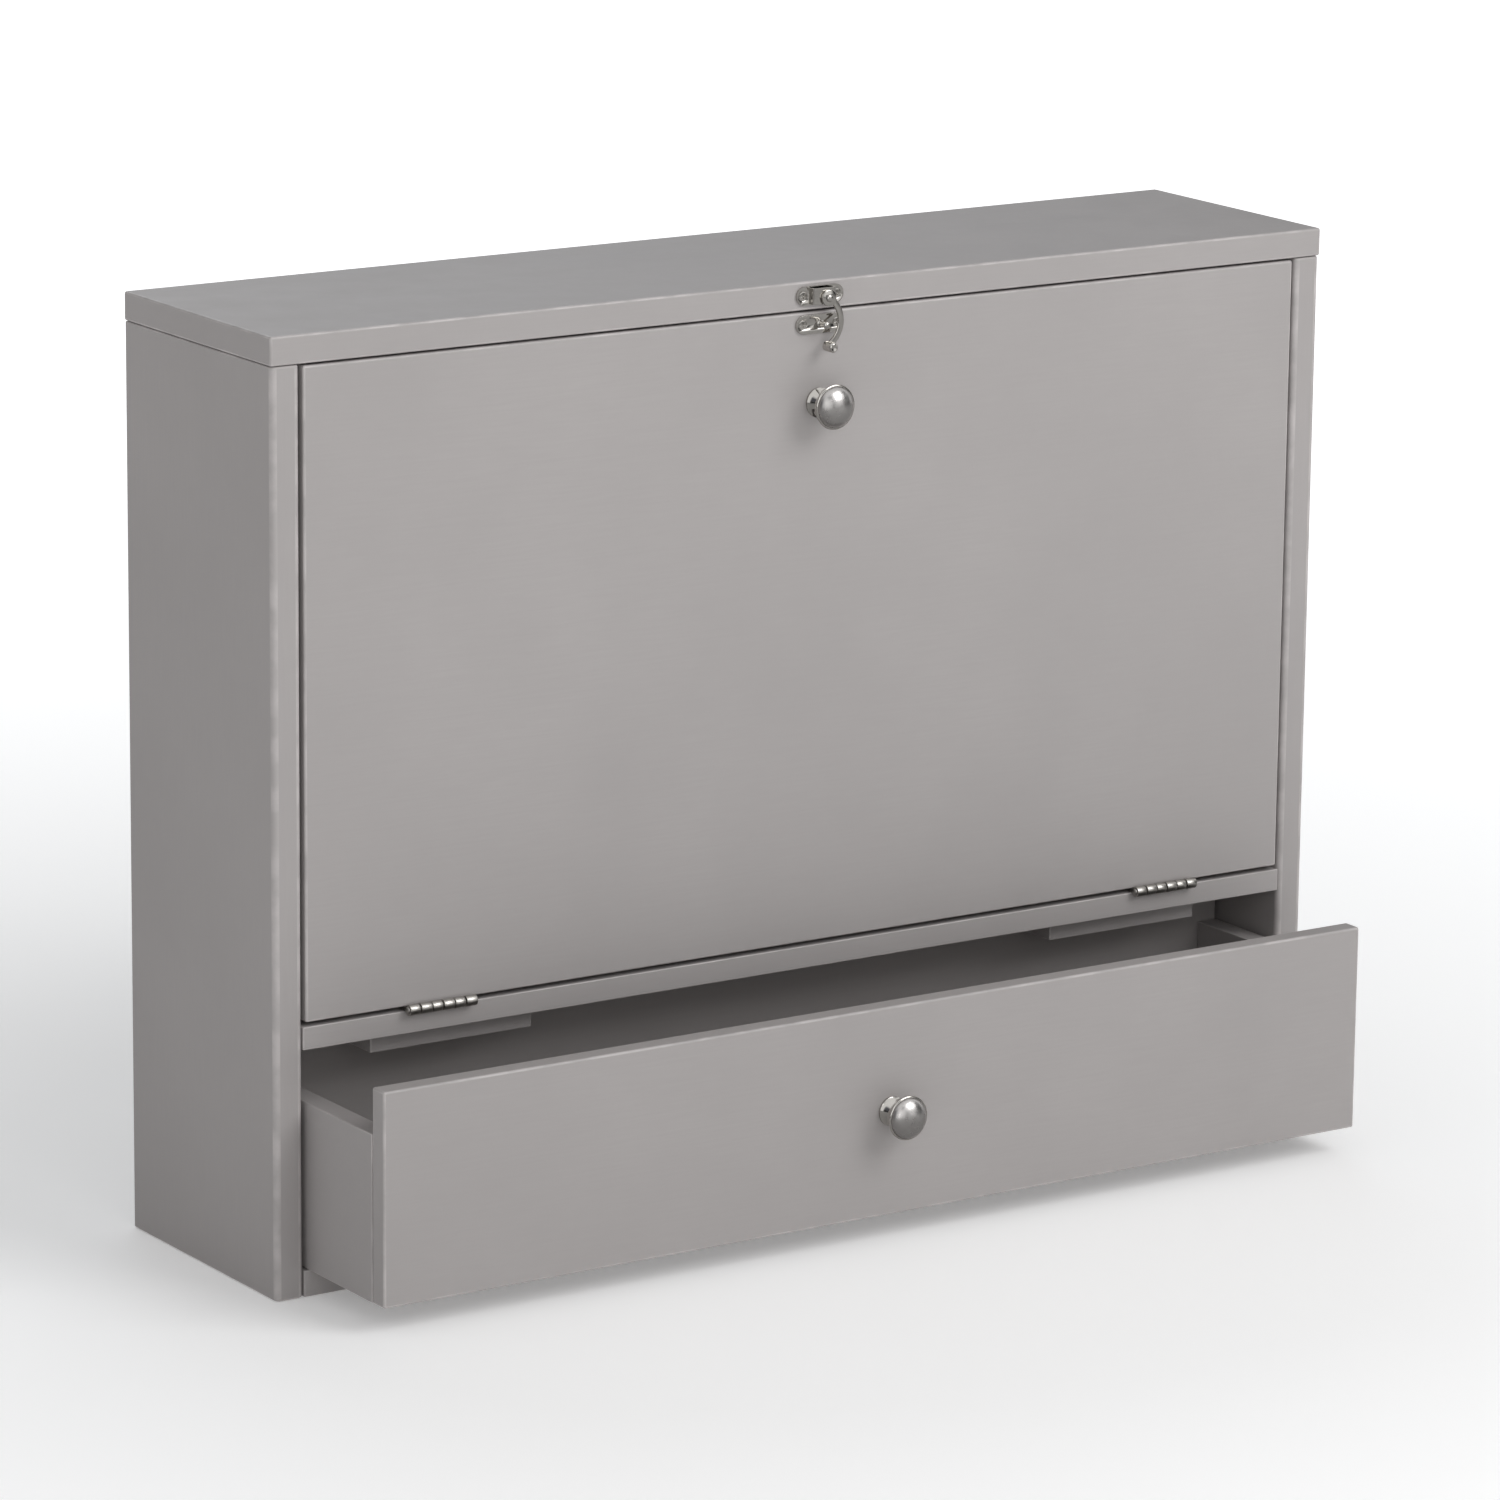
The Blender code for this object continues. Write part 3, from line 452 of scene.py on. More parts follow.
    @staticmethod
    def combine(piece: bpy.types.Object, other: bpy.types.Object, operation: str) -> bpy.types.Object:
        """Join another shape to a piece or cut it out, and throw the other shape away.

        Args:
            piece: The piece that stays.
            other: The shape that is used up.
            operation: UNION or DIFFERENCE.

        Returns:
            The piece.
        """
        Bench.take(piece)
        change = piece.modifiers.new(operation.title(), "BOOLEAN")
        change.operation = operation
        change.solver = "EXACT"
        change.object = other
        bpy.ops.object.modifier_apply(modifier=change.name)
        bpy.data.objects.remove(other, do_unlink=True)
        return piece

    @staticmethod
    def put(piece: bpy.types.Object, name: str, at: Vector | Point, toward: Toward) -> bpy.types.Object:
        """Copy a piece that was modelled upright at the origin to a place and a direction.

        Args:
            piece: The piece to copy.
            name: The copy's name.
            at: Where the origin goes.
            toward: The way that its top points.

        Returns:
            The copy, with its own mesh.
        """
        Bench.take(piece)
        bpy.ops.object.duplicate(linked=False)
        turn = toward.vector.to_track_quat("Z", "Y").to_matrix().to_4x4()
        bpy.context.object.matrix_world = Matrix.Translation(at) @ turn
        return Bench.settle(name)

    @staticmethod
    def shifted(piece: bpy.types.Object, name: str, offset: Vector) -> bpy.types.Object:
        """Copy a piece to another place, unturned, with its own mesh.

        Args:
            piece: The piece to copy.
            name: The copy's name.
            offset: How far the copy lies from the piece.

        Returns:
            The copy.
        """
        Bench.take(piece)
        bpy.ops.object.duplicate(linked=False)
        bpy.context.object.location = offset
        return Bench.settle(name)

    @staticmethod
    def mirrored(piece: bpy.types.Object, name: str) -> bpy.types.Object:
        """Copy a left-hand piece to the right-hand side, as its mirror image with its own mesh.

        Args:
            piece: The left-hand piece.
            name: The copy's name.

        Returns:
            The right-hand piece, with its faces pointing outwards.
        """
        Bench.take(piece)
        bpy.ops.object.duplicate(linked=False)
        bpy.context.object.scale.x = -1
        twin = Bench.settle(name)
        bpy.ops.object.mode_set(mode="EDIT")
        bpy.ops.mesh.select_all(action="SELECT")
        bpy.ops.mesh.normals_make_consistent(inside=False)
        bpy.ops.object.mode_set(mode="OBJECT")
        return twin

    @staticmethod
    def ease(piece: bpy.types.Object, width: float, segments: int = 3, angle: float = 40.0) -> bpy.types.Object:
        """Round every sharp edge of a piece and smooth its shading.

        Args:
            piece: The piece to finish.
            width: The rounding's radius.
            segments: Its steps.
            angle: Edges sharper than this many degrees are rounded.

        Returns:
            The piece.
        """
        Bench.take(piece)
        bpy.ops.object.shade_smooth_by_angle(angle=math.radians(angle))
        if width:
            change = piece.modifiers.new("Eased edges", "BEVEL")
            change.width = width
            change.segments = segments
            change.limit_method = "ANGLE"
            change.angle_limit = math.radians(angle)
            change.harden_normals = True
            change.use_clamp_overlap = True
            bpy.ops.object.modifier_apply(modifier=change.name)
        return piece


def fit(piece: bpy.types.Object, finish: Finish, body: Body, *nodes: str) -> bpy.types.Object:
    """Give a piece its finish, its body and the frame nodes that it stands for.

    Args:
        piece: The finished piece.
        finish: Its finish.
        body: The body that it moves with.
        *nodes: The frame's nodes that it replaces.

    Returns:
        The piece.
    """
    if not piece.data.materials:
        piece.data.materials.append(finish.material)
    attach(piece, body.value)
    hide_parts(*nodes)
    LOG.info("%s: %d faces, on %s", piece.name, len(piece.data.polygons), body.value)
    return piece


def fit_both(piece: bpy.types.Object, finish: Finish, body: Body, node: str, offset: Vector | None = None) -> None:
    """Fit a left-hand piece and its fellow on the right.

    Args:
        piece: The finished left-hand piece.
        finish: The finish of both.
        body: The left-hand piece's body.
        node: The frame node that the left-hand piece replaces.
        offset: How far the right-hand piece lies from the left one; without it, it is the mirror image.
    """
    name = piece.name.replace("left", "right")
    twin = Bench.shifted(piece, name, offset) if offset else Bench.mirrored(piece, name)
    fit(piece, finish, body, node)
    fit(twin, finish, body.mirrored, node.replace("left", "right"))


def dome(radius: float, height: float, degrees: range, base: float = 0.0) -> list[tuple[float, float]]:
    """Half outline of a dome, as points at chosen angles above its base."""
    return [(radius * math.cos(a), base + height * math.sin(a)) for a in map(math.radians, degrees)]


def direction(azimuth: float, elevation: float) -> Vector:
    """The way from the desk to a place given in degrees, with 0, 0 straight in front."""
    a, e = math.radians(azimuth), math.radians(elevation)
    return Vector((math.sin(a) * math.cos(e), -math.cos(a) * math.cos(e), math.sin(e)))


def middle_of(node: str) -> Vector:
    """The middle of a node's box."""
    low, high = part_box(node)
    return (low + high) / 2


# ---------------------------------------------------------------- boards

@dataclass
class Board:
    """A flat painted board with eased arrises."""

    node: str
    body: Body = Body.CABINET
    arris: float = 0.6 * MM
    finish: Finish = Finish.PAINT

    def shape(self) -> bpy.types.Object:
        """The board's blank, before its arrises are eased."""
        low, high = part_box(self.node)
        return Bench.block(self.node + "_board", low, high)

    def mark_arrises(self, piece: bpy.types.Object) -> None:
        """Note which faces belong to the eased arrises, where the paint carries a painted highlight.

        Args:
            piece: The eased board.
        """
        marks = piece.data.attributes.new("arris", "FLOAT", "FACE")
        for face, mark in zip(piece.data.polygons, marks.data):
            mark.value = float(max(map(abs, face.normal)) < 0.999)

    def build(self) -> bpy.types.Object:
        """Model the board, ease it and paint it.

        Returns:
            The finished board.
        """
        piece = Bench.ease(self.shape(), self.arris, 4)
        self.mark_arrises(piece)
        return fit(piece, self.finish, self.body, self.node)


@dataclass
class SideBoard(Board):
    """A side of the case, with its front arrises well rounded."""

    arris: float = 0.9 * MM
    front_radius: float = 3.0 * MM
    finish: Finish = Finish.PAINT_UPRIGHT

    def shape(self) -> bpy.types.Object:
        """The side with its two front arrises rounded over.

        Returns:
            The side's blank.
        """
        piece = super().shape()
        low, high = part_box(self.node)

        def front_upright(a: Vector, b: Vector) -> bool:
            """Whether an edge runs up the front."""
            return abs(a.y - low.y) < MM and abs(b.y - low.y) < MM and abs(a.z - b.z) > (high.z - low.z) / 2

        Bench.bevel_where(piece, front_upright, self.front_radius - 0.05 * MM, 8)
        return piece


@dataclass
class Carcass:
    """The fixed case and every other board."""

    slab_arris: float = 1.2 * MM

    def build(self) -> None:
        """Build the boards, and paint the two that keep their drilled shape."""
        for side in ("left_side", "right_side"):
            SideBoard(side).build()
        Board("top_panel", arris=self.slab_arris).build()
        for node in ("bottom_panel", "fixed_shelf", "left_hinge_block", "right_hinge_block"):
            Board(node).build()
        Board("drop_front_panel", Body.DROP_FRONT, self.slab_arris).build()
        Board("drawer_front", Body.DRAWER, self.slab_arris).build()
        for node in ("drawer_left_side", "drawer_right_side", "drawer_back", "drawer_bottom"):
            Board(node, Body.DRAWER).build()
        for node in ("back_panel", "wall_rail"):
            bpy.data.objects[node].data.materials.clear()
            bpy.data.objects[node].data.materials.append(Finish.PAINT.material)


# ---------------------------------------------------------------- screws

@dataclass
class CrossScrew:
    """A raised countersunk wood screw with a cross recess, modelled once and copied to each of its places."""

    name: str = "wood_screw"
    head_r: float = 2.5 * MM
    shank_r: float = 1.4 * MM
    length: float = 9.0 * MM
    dome_h: float = 0.1 * MM
    thread_depth: float = 0.22 * MM
    recess_reach: float = 1.5 * MM
    recess_w: float = 0.62 * MM
    recess_depth: float = 0.75 * MM
    master: bpy.types.Object | None = None

    def profile(self) -> list[tuple[float, float]]:
        """Half outline from the head to the point, with the top of the head at height 0.

        Returns:
            (radius, height) points, from one end to the other.
        """
        dome = [(self.head_r * math.cos(a), self.dome_h * (math.sin(a) - 1))
                for a in (math.radians(d) for d in range(80, -1, -20))]
        under = -self.dome_h - 0.85 * MM
        rings, pitch = [], 0.9 * MM
        for number in range(int((self.length + under - 2 * MM) / pitch)):
            crest = under - pitch * (number + 1)
            rings += [(self.shank_r, crest), (self.shank_r - self.thread_depth, crest - pitch / 2)]
        return dome + [(self.head_r, -self.dome_h - 0.12 * MM), (self.shank_r, under)] + rings + [
            (0.25 * MM, 0.05 * MM - self.length)]

    def model(self) -> bpy.types.Object:
        """Turn the screw at the origin and cut its recess.

        Returns:
            The finished screw, at the origin.
        """
        piece = Bench.turned(self.name, self.profile(), (0, 0, 0), Toward.UP, 36)
        long, short = self.recess_reach, self.recess_w / 2
        for x, y in ((long, short), (short, long)):
            slot = Bench.block("recess", (-x, -y, -self.recess_depth), (x, y, MM))
            Bench.combine(piece, slot, "DIFFERENCE")
        return Bench.ease(piece, 0.05 * MM, 2, 50)

    def place(self, node: str, body: Body, toward: Toward, finish: Finish) -> None:
        """Copy the screw to a node of the frame.

        Args:
            node: The node that the screw stands for.
            body: The body that it moves with.
            toward: The way that its head faces.
            finish: Its finish.
        """
        self.master = self.master or self.model()
        low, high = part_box(node)
        top = (low + high) / 2 + toward.vector * abs((high - low).dot(toward.vector)) / 2
        fit(Bench.put(self.master, node + "_threaded", top, toward), finish, body, node)

    def put_away(self) -> None:
        """Throw away the screw that the others were copied from."""
        bpy.data.objects.remove(self.master, do_unlink=True)


@dataclass
class PanScrew(CrossScrew):
    """A pan-headed machine screw, as behind a knob."""

    name: str = "machine_screw"
    head_r: float = 3.6 * MM
    shank_r: float = 1.95 * MM
    dome_h: float = 1.2 * MM
    recess_reach: float = 1.9 * MM
    recess_depth: float = 1.2 * MM

    def profile(self) -> list[tuple[float, float]]:
        """Half outline of a pan head and its shank, with the top of the head at height 0.

        Returns:
            (radius, height) points, from one end to the other.
        """
        dome = [(self.head_r * math.cos(a), self.dome_h * (math.sin(a) - 1))
                for a in (math.radians(d) for d in range(84, -1, -12))]
        under = -2.05 * MM
        return dome + [(self.head_r, under), (self.shank_r, under), (self.shank_r, -self.length)]


# ---------------------------------------------------------------- knobs

@dataclass
class MushroomKnob:
    """A turned knob: foot, waisted neck, polished rim and a satin domed face."""

    node: str
    body: Body
    foot_r: float = 7.9 * MM
    foot_h: float = 1.2 * MM
    neck_r: float = 4.6 * MM
    neck_h: float = 7.0 * MM
    under_h: float = 14.6 * MM
    head_r: float = 11.9 * MM
    rim_w: float = 0.9 * MM
    rim_h: float = 1.5 * MM
    height: float = 21.5 * MM

    def profile(self) -> list[tuple[float, float]]:
        """Half outline from the foot to the top of the dome.

        Returns:
            (radius, height) points, from one end to the other.
        """
        lip = self.foot_r - 0.9 * MM
        waist_start = self.foot_h + 0.8 * MM
        waist = [(lip + (self.neck_r - lip) * math.sin(t * math.pi / 2),
                  waist_start + (self.neck_h - waist_start) * t) for t in (i / 8 for i in range(9))]
        flare_r = self.head_r - 0.5 * MM
        flare = [(self.neck_r + (flare_r - self.neck_r) * t ** 2.3,
                  self.neck_h + (self.under_h - self.neck_h) * t) for t in (i / 10 for i in range(1, 11))]
        half = self.rim_h / 2
        rim_middle = self.under_h + half
        rim = [(self.head_r - self.rim_w + self.rim_w * math.cos(a), rim_middle + half * math.sin(a))
               for a in (math.radians(d) for d in range(-45, 91, 15))]
        face_r, face_h = self.head_r - self.rim_w - 0.25 * MM, rim_middle + half - 0.2 * MM
        dome = [(face_r * math.cos(a), face_h + (self.height - face_h) * math.sin(a) ** 1.15)
                for a in (math.radians(d) for d in range(0, 89, 6))]
        return [(self.foot_r, 0), (self.foot_r, self.foot_h)] + waist + flare + rim + dome

    def build(self) -> None:
        """Turn the knob and dress its face."""
        low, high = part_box(self.node)
        middle = (low + high) / 2
        at = Vector((middle.x, high.y, middle.z))
        piece = Bench.turned(self.node + "_turned", self.profile(), at, Toward.FRONT, 72)
        Bench.ease(piece, 0.0, angle=32)
        piece.data.materials.append(Finish.POLISHED.material)
        piece.data.materials.append(Finish.SATIN_FACE.material)
        face_y = low.y + self.height - self.under_h - self.rim_h + 0.25 * MM
        for face in piece.data.polygons:
            on_axis = math.hypot(face.center.x - middle.x, face.center.z - middle.z)
            face.material_index = int(face.center.y < face_y and on_axis < self.head_r - self.rim_w - 0.1 * MM)
        fit(piece, Finish.POLISHED, self.body, self.node)


# ---------------------------------------------------------------- latch

def slotted_end_plate(name: str, low: Vector, high: Vector) -> bpy.types.Object:
    """A flat plate in the XZ plane with fully rounded ends.

    Args:
        name: The plate's name.
        low: Its lowest corner.
        high: Its highest corner.

    Returns:
        The plate.
    """
    piece = Bench.block(name, low, high)
    Bench.bevel_where(piece, lambda a, b: abs(a.y - b.y) > 0.5 * (high.y - low.y),
                      (high.z - low.z) / 2 - 0.02 * MM, 14)
    return piece


@dataclass
class SwingHookLatch:
    """The bridge plate, its rivet and hook, and the catch plate with its post."""

    plate_t: float = 1.0 * MM
    bridge_l: float = 14.0 * MM
    bridge_h: float = 8.4 * MM
    bend_r: float = 1.3 * MM
    sheet_t: float = 1.0 * MM
    eye_r: float = 4.3 * MM
    eye_t: float = 1.6 * MM
    eye_soft: float = 0.35 * MM
    eye_bore_r: float = 1.56 * MM
    arm_w: float = 3.4 * MM
    arm_soft: float = 0.6 * MM
    finger_r: float = 2.7 * MM
    arc_centre: tuple[float, float] = (-6.5 * MM, -12.3 * MM)
    arc_end: float = -65.0
    sink_r: float = 2.62 * MM
    sink_neck_r: float = 1.5 * MM
    sink_depth: float = 0.9 * MM
    rivet_dome: float = 0.9 * MM
    rivet_flange: float = 0.7 * MM
    post_tail: float = 3.0 * MM
    post_neck_r: float = 1.5 * MM
    eased: float = 0.14 * MM

    def seat_screws(self, plate: bpy.types.Object, nodes: list[str]) -> None:
        """Sink the countersinks of a plate's screws into it.

        Args:
            plate: The plate to cut.
            nodes: The screws' frame nodes.
        """
        for node in nodes:
            low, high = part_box(node)
            head = Vector(((low.x + high.x) / 2, low.y - 0.05 * MM, (low.z + high.z) / 2))
            outline = [(self.sink_r, -MM), (self.sink_r, 0), (self.sink_neck_r, self.sink_depth),
                       (self.sink_neck_r, 3 * MM)]
            cone = Bench.turned("countersink", outline, head, Toward.BACK, 40)
            Bench.combine(plate, cone, "DIFFERENCE")

    def build_base(self) -> None:
        """The obround plate with the raised bridge that carries the hook."""
        low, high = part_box("latch_plate")
        plate = slotted_end_plate("latch_bridge_plate", Vector((low.x, high.y - self.plate_t, low.z)), high)
        self.seat_screws(plate, ["latch_plate_screw_1", "latch_plate_screw_2"])
        middle_z = (low.z + high.z) / 2
        half_l, half_h = self.bridge_l / 2, self.bridge_h / 2
        bridge = Bench.block("bridge", (-half_l, low.y, middle_z - half_h),
                             (half_l, high.y - self.plate_t / 2, middle_z + half_h))
        Bench.bevel_where(bridge, lambda a, b: max(a.y, b.y) < low.y + 0.1 * MM and abs(a.z - b.z) > MM,
                          self.bend_r, 6)
        hollow = Bench.block("hollow", (-half_l + self.sheet_t, low.y + self.sheet_t, low.z - MM),
                             (half_l - self.sheet_t, high.y - self.plate_t, high.z + MM))
        Bench.bevel_where(hollow, lambda a, b: max(a.y, b.y) < low.y + self.sheet_t + 0.1 * MM
                          and abs(a.z - b.z) > MM, self.bend_r - 0.7 * self.sheet_t, 4)
        Bench.combine(plate, bridge, "UNION")
        Bench.combine(plate, hollow, "DIFFERENCE")
        fit(Bench.ease(plate, self.eased, 2), Finish.POLISHED, Body.CABINET, "latch_plate")

    def build_rivet(self) -> None:
        """The domed rivet that the hook turns on."""
        low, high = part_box("latch_rivet")
        middle = (low + high) / 2
        radius = (high.x - low.x) / 2
        length = high.y - low.y - self.rivet_dome
        flange, neck_r = -length + self.rivet_flange, 0.75 * radius
        profile = [(radius, -length), (radius, flange), (neck_r, flange), (neck_r, 0)]
        profile += dome(radius, self.rivet_dome, range(0, 86, 9))
        at = Vector((middle.x, low.y + self.rivet_dome, middle.z))
        piece = Bench.turned("latch_domed_rivet", profile, at, Toward.FRONT, 40)
        fit(Bench.ease(piece, 0.0, angle=32), Finish.POLISHED, Body.CABINET, "latch_rivet")

    @staticmethod
    def is_long_edge(a: Vector, b: Vector, cx: float, cz: float) -> bool:
        """Whether an edge runs along the arm, round the arc's centre, and not across it."""
        return abs(math.hypot(a.x - cx, a.z - cz) - math.hypot(b.x - cx, b.z - cz)) < 0.01 * MM

    def build_hook(self) -> None:
        """The hook: an eye, an arm bent round the post, and a finger knob."""
        low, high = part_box("latch_hook")
        rivet = middle_of("latch_rivet")
        eye_t, soft = self.eye_t, self.eye_soft
        back = high.y
        front = back - eye_t
        middle_y = (front + back) / 2
        outline = [(self.eye_r - soft, 0), (self.eye_r, soft), (self.eye_r, eye_t - soft),
                   (self.eye_r - 0.3 * soft, eye_t - 0.3 * soft), (self.eye_r - soft, eye_t)]
        piece = Bench.turned("latch_swing_hook", outline, (rivet.x, back, rivet.z), Toward.FRONT, 56)
        cx, cz = rivet.x + self.arc_centre[0], rivet.z + self.arc_centre[1]
        radius = math.hypot(*self.arc_centre)
        start = math.degrees(math.atan2(-self.arc_centre[1], -self.arc_centre[0]))
        Bench.clear()
        bpy.ops.mesh.primitive_plane_add(size=1, location=(cx + radius, middle_y, cz))
        bpy.context.object.scale = (self.arm_w, eye_t - 0.1 * MM, 1)
        arm = Bench.settle("arm")
        bpy.ops.object.mode_set(mode="EDIT")
        bpy.ops.mesh.select_all(action="SELECT")
        bpy.ops.transform.rotate(value=math.radians(-start), orient_axis="Y", center_override=(cx, middle_y, cz))
        bpy.ops.mesh.spin(steps=36, angle=math.radians(self.arc_end - start), center=(cx, middle_y, cz),
                          axis=(0, -1, 0))
        bpy.ops.object.mode_set(mode="OBJECT")
        bpy.ops.object.mode_set(mode="EDIT")
        Bench.close_ends()
        Bench.bevel_where(arm, lambda a, b: abs(a.y - b.y) < 0.01 * MM and self.is_long_edge(a, b, cx, cz),
                          self.arm_soft, 4)
        Bench.combine(piece, arm, "UNION")
        end = math.radians(self.arc_end)
        at = (cx + radius * math.cos(end), back, cz + radius * math.sin(end))
        length = high.y - low.y
        r = self.finger_r
        grip = [(r - 0.3 * MM, 0), (r, 0.3 * MM), (r, length - 1.0 * MM), (r - 0.35 * MM, length - 0.3 * MM),
                (r - 0.9 * MM, length), (r - 1.3 * MM, length - 0.1 * MM), (0.4 * MM, length - 0.35 * MM)]
        Bench.combine(piece, Bench.turned("grip", grip, at, Toward.FRONT, 48), "UNION")
        eye = Bench.rod("eye", (rivet.x, front - MM, rivet.z), Toward.BACK, self.eye_bore_r, 4 * MM)
        Bench.combine(piece, eye, "DIFFERENCE")
        fit(Bench.ease(piece, 0.0, angle=38), Finish.POLISHED, Body.HOOK, "latch_hook")

    def build_catch(self) -> None:
        """The catch plate and its round-headed post."""
        low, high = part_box("catch_plate")
        plate = slotted_end_plate("catch_obround_plate", low, high)
        self.seat_screws(plate, ["catch_plate_screw_1", "catch_plate_screw_2"])
        fit(Bench.ease(plate, self.eased, 2), Finish.POLISHED, Body.DROP_FRONT, "catch_plate")
        low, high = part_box("catch_post")
        middle = (low + high) / 2
        tail, neck_r = self.post_tail, self.post_neck_r
        length = high.y - low.y - tail
        head = dome((high.x - low.x) / 2, 1.3 * MM, range(-30, 86, 10), length - 1.3 * MM)
        profile = [(1.2 * MM, -tail), (1.2 * MM, 1.2 * MM), (2.1 * MM, 1.2 * MM), (2.1 * MM, 1.5 * MM),
                   (neck_r, 2.0 * MM), (neck_r, length - 2.3 * MM)] + head
        piece = Bench.turned("catch_turned_post", profile, (middle.x, high.y - tail, middle.z), Toward.FRONT, 40)
        fit(Bench.ease(piece, 0.0, angle=32), Finish.POLISHED, Body.DROP_FRONT, "catch_post")

    def build(self) -> None:
        """Build the whole latch."""
        self.build_base()
        self.build_rivet()
        self.build_hook()
        self.build_catch()


# ---------------------------------------------------------------- hinges

@dataclass
class ButtHinges:
    """Two six-knuckle butt hinges; the left one is modelled, and the right one is its copy."""

    knuckles: int = 6
    barrel_r: float = 2.85 * MM
    barrel_end: float = 0.15 * MM
    joint_gap: float = 0.4 * MM
    wide_gap: float = 0.9 * MM
    bore_r: float = 1.34 * MM
    pin_r: float = 1.25 * MM
    split: float = 0.15 * MM
    leaf_t: float = 0.9 * MM
    leaf_lap: float = 0.9 * MM
    sink_r: float = 2.6 * MM

    def spans(self, parity: int) -> list[tuple[float, float]]:
        """Start and end in X of every second knuckle.

        Args:
            parity: 0 for the first knuckle and its fellows, 1 for those between them.

        Returns:
            The knuckles' ends; the gap after each first knuckle is wider than the gap after its neighbour.
        """
        low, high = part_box("left_hinge_upper_leaf")
        middle = middle_of("left_hinge_pin").x
        half = max(high.x - middle, middle - low.x)
        step = 2 * half / self.knuckles
        after = self.joint_gap / 2 if parity else self.wide_gap - self.joint_gap / 2
        return [(middle - half + step * i + self.joint_gap / 2, middle - half + step * (i + 1) - after)
                for i in range(self.knuckles) if i % 2 == parity]

    def leaf(self, place: str, up: int, parity: int) -> bpy.types.Object:
        """Model a leaf with its knuckles rolled round the pin.

        Args:
            place: upper or lower.
            up: 1 where the leaf lies above the pin's middle, -1 where below.
            parity: Which knuckles it has.

        Returns:
            The leaf.
        """
        node = f"left_hinge_{place}_leaf"
        low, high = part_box(node)
        pin = middle_of("left_hinge_pin")
        near, far = sorted((pin.z + up * self.split, pin.z + up * (self.split + self.leaf_t)))
        piece = Bench.block(node + "_rolled", (low.x, pin.y + self.barrel_r - self.leaf_lap, near),
                            (high.x, high.y, far))
        end, r = self.barrel_end, self.barrel_r
        for start, stop in self.spans(parity):
            length = stop - start
            outline = [(r - end, 0), (r - 0.3 * end, 0.3 * end), (r, end), (r, length - end),
                       (r - 0.3 * end, length - 0.3 * end), (r - end, length)]
            barrel = Bench.turned("barrel", outline, (start, pin.y, pin.z), Toward.RIGHT, 40)
            Bench.combine(piece, barrel, "UNION")
        for start, stop in self.spans(1 - parity):
            room = self.joint_gap
            relief = Bench.block("relief", (start - room, pin.y, pin.z - r),
                                 (stop + room, pin.y + r + room, pin.z + r))
            Bench.combine(piece, relief, "DIFFERENCE")
        bore = Bench.rod("bore", (low.x - MM, pin.y, pin.z), Toward.RIGHT, self.bore_r, high.x - low.x + 2 * MM)
        Bench.combine(piece, bore, "DIFFERENCE")
        for number in (1, 2):
            at = middle_of(f"left_hinge_{place}_screw_{number}")
            toward = Toward.DOWN if up > 0 else Toward.UP
            sink = Bench.turned("countersink", [(1.5 * MM, -self.leaf_t - MM), (1.5 * MM, -0.85 * MM),
                                                (self.sink_r, 0), (self.sink_r, MM)],
                                (at.x, at.y, pin.z + up * self.split), toward, 32)
            Bench.combine(piece, sink, "DIFFERENCE")
        return Bench.ease(piece, 0.1 * MM, 2)

    def pin(self) -> bpy.types.Object:
        """Turn the pin, with a domed head at each end.

        Returns:
            The left-hand hinge's pin.
        """
        low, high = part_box("left_hinge_pin")
        middle = (low + high) / 2
        rise, length = 0.9 * MM, high.x - low.x
        cap = dome((high.z - low.z) / 2, rise, range(0, 85, 12))
        outline = [(r, rise - h) for r, h in reversed(cap)] + [(self.pin_r, rise), (self.pin_r, length - rise)]
        outline += [(r, length - rise + h) for r, h in cap]
        piece = Bench.turned("left_hinge_headed_pin", outline, (low.x, middle.y, middle.z), Toward.RIGHT, 36)
        return Bench.ease(piece, 0.0, angle=35)

    def build(self) -> None:
        """Build both hinges."""
        offset = middle_of("right_hinge_pin") - middle_of("left_hinge_pin")
        fit_both(self.leaf("lower", -1, 0), Finish.SATIN, Body.CABINET, "left_hinge_lower_leaf", offset)
        fit_both(self.leaf("upper", 1, 1), Finish.SATIN, Body.DROP_FRONT, "left_hinge_upper_leaf", offset)
        fit_both(self.pin(), Finish.SATIN, Body.CABINET, "left_hinge_pin", offset)


# ---------------------------------------------------------------- stays

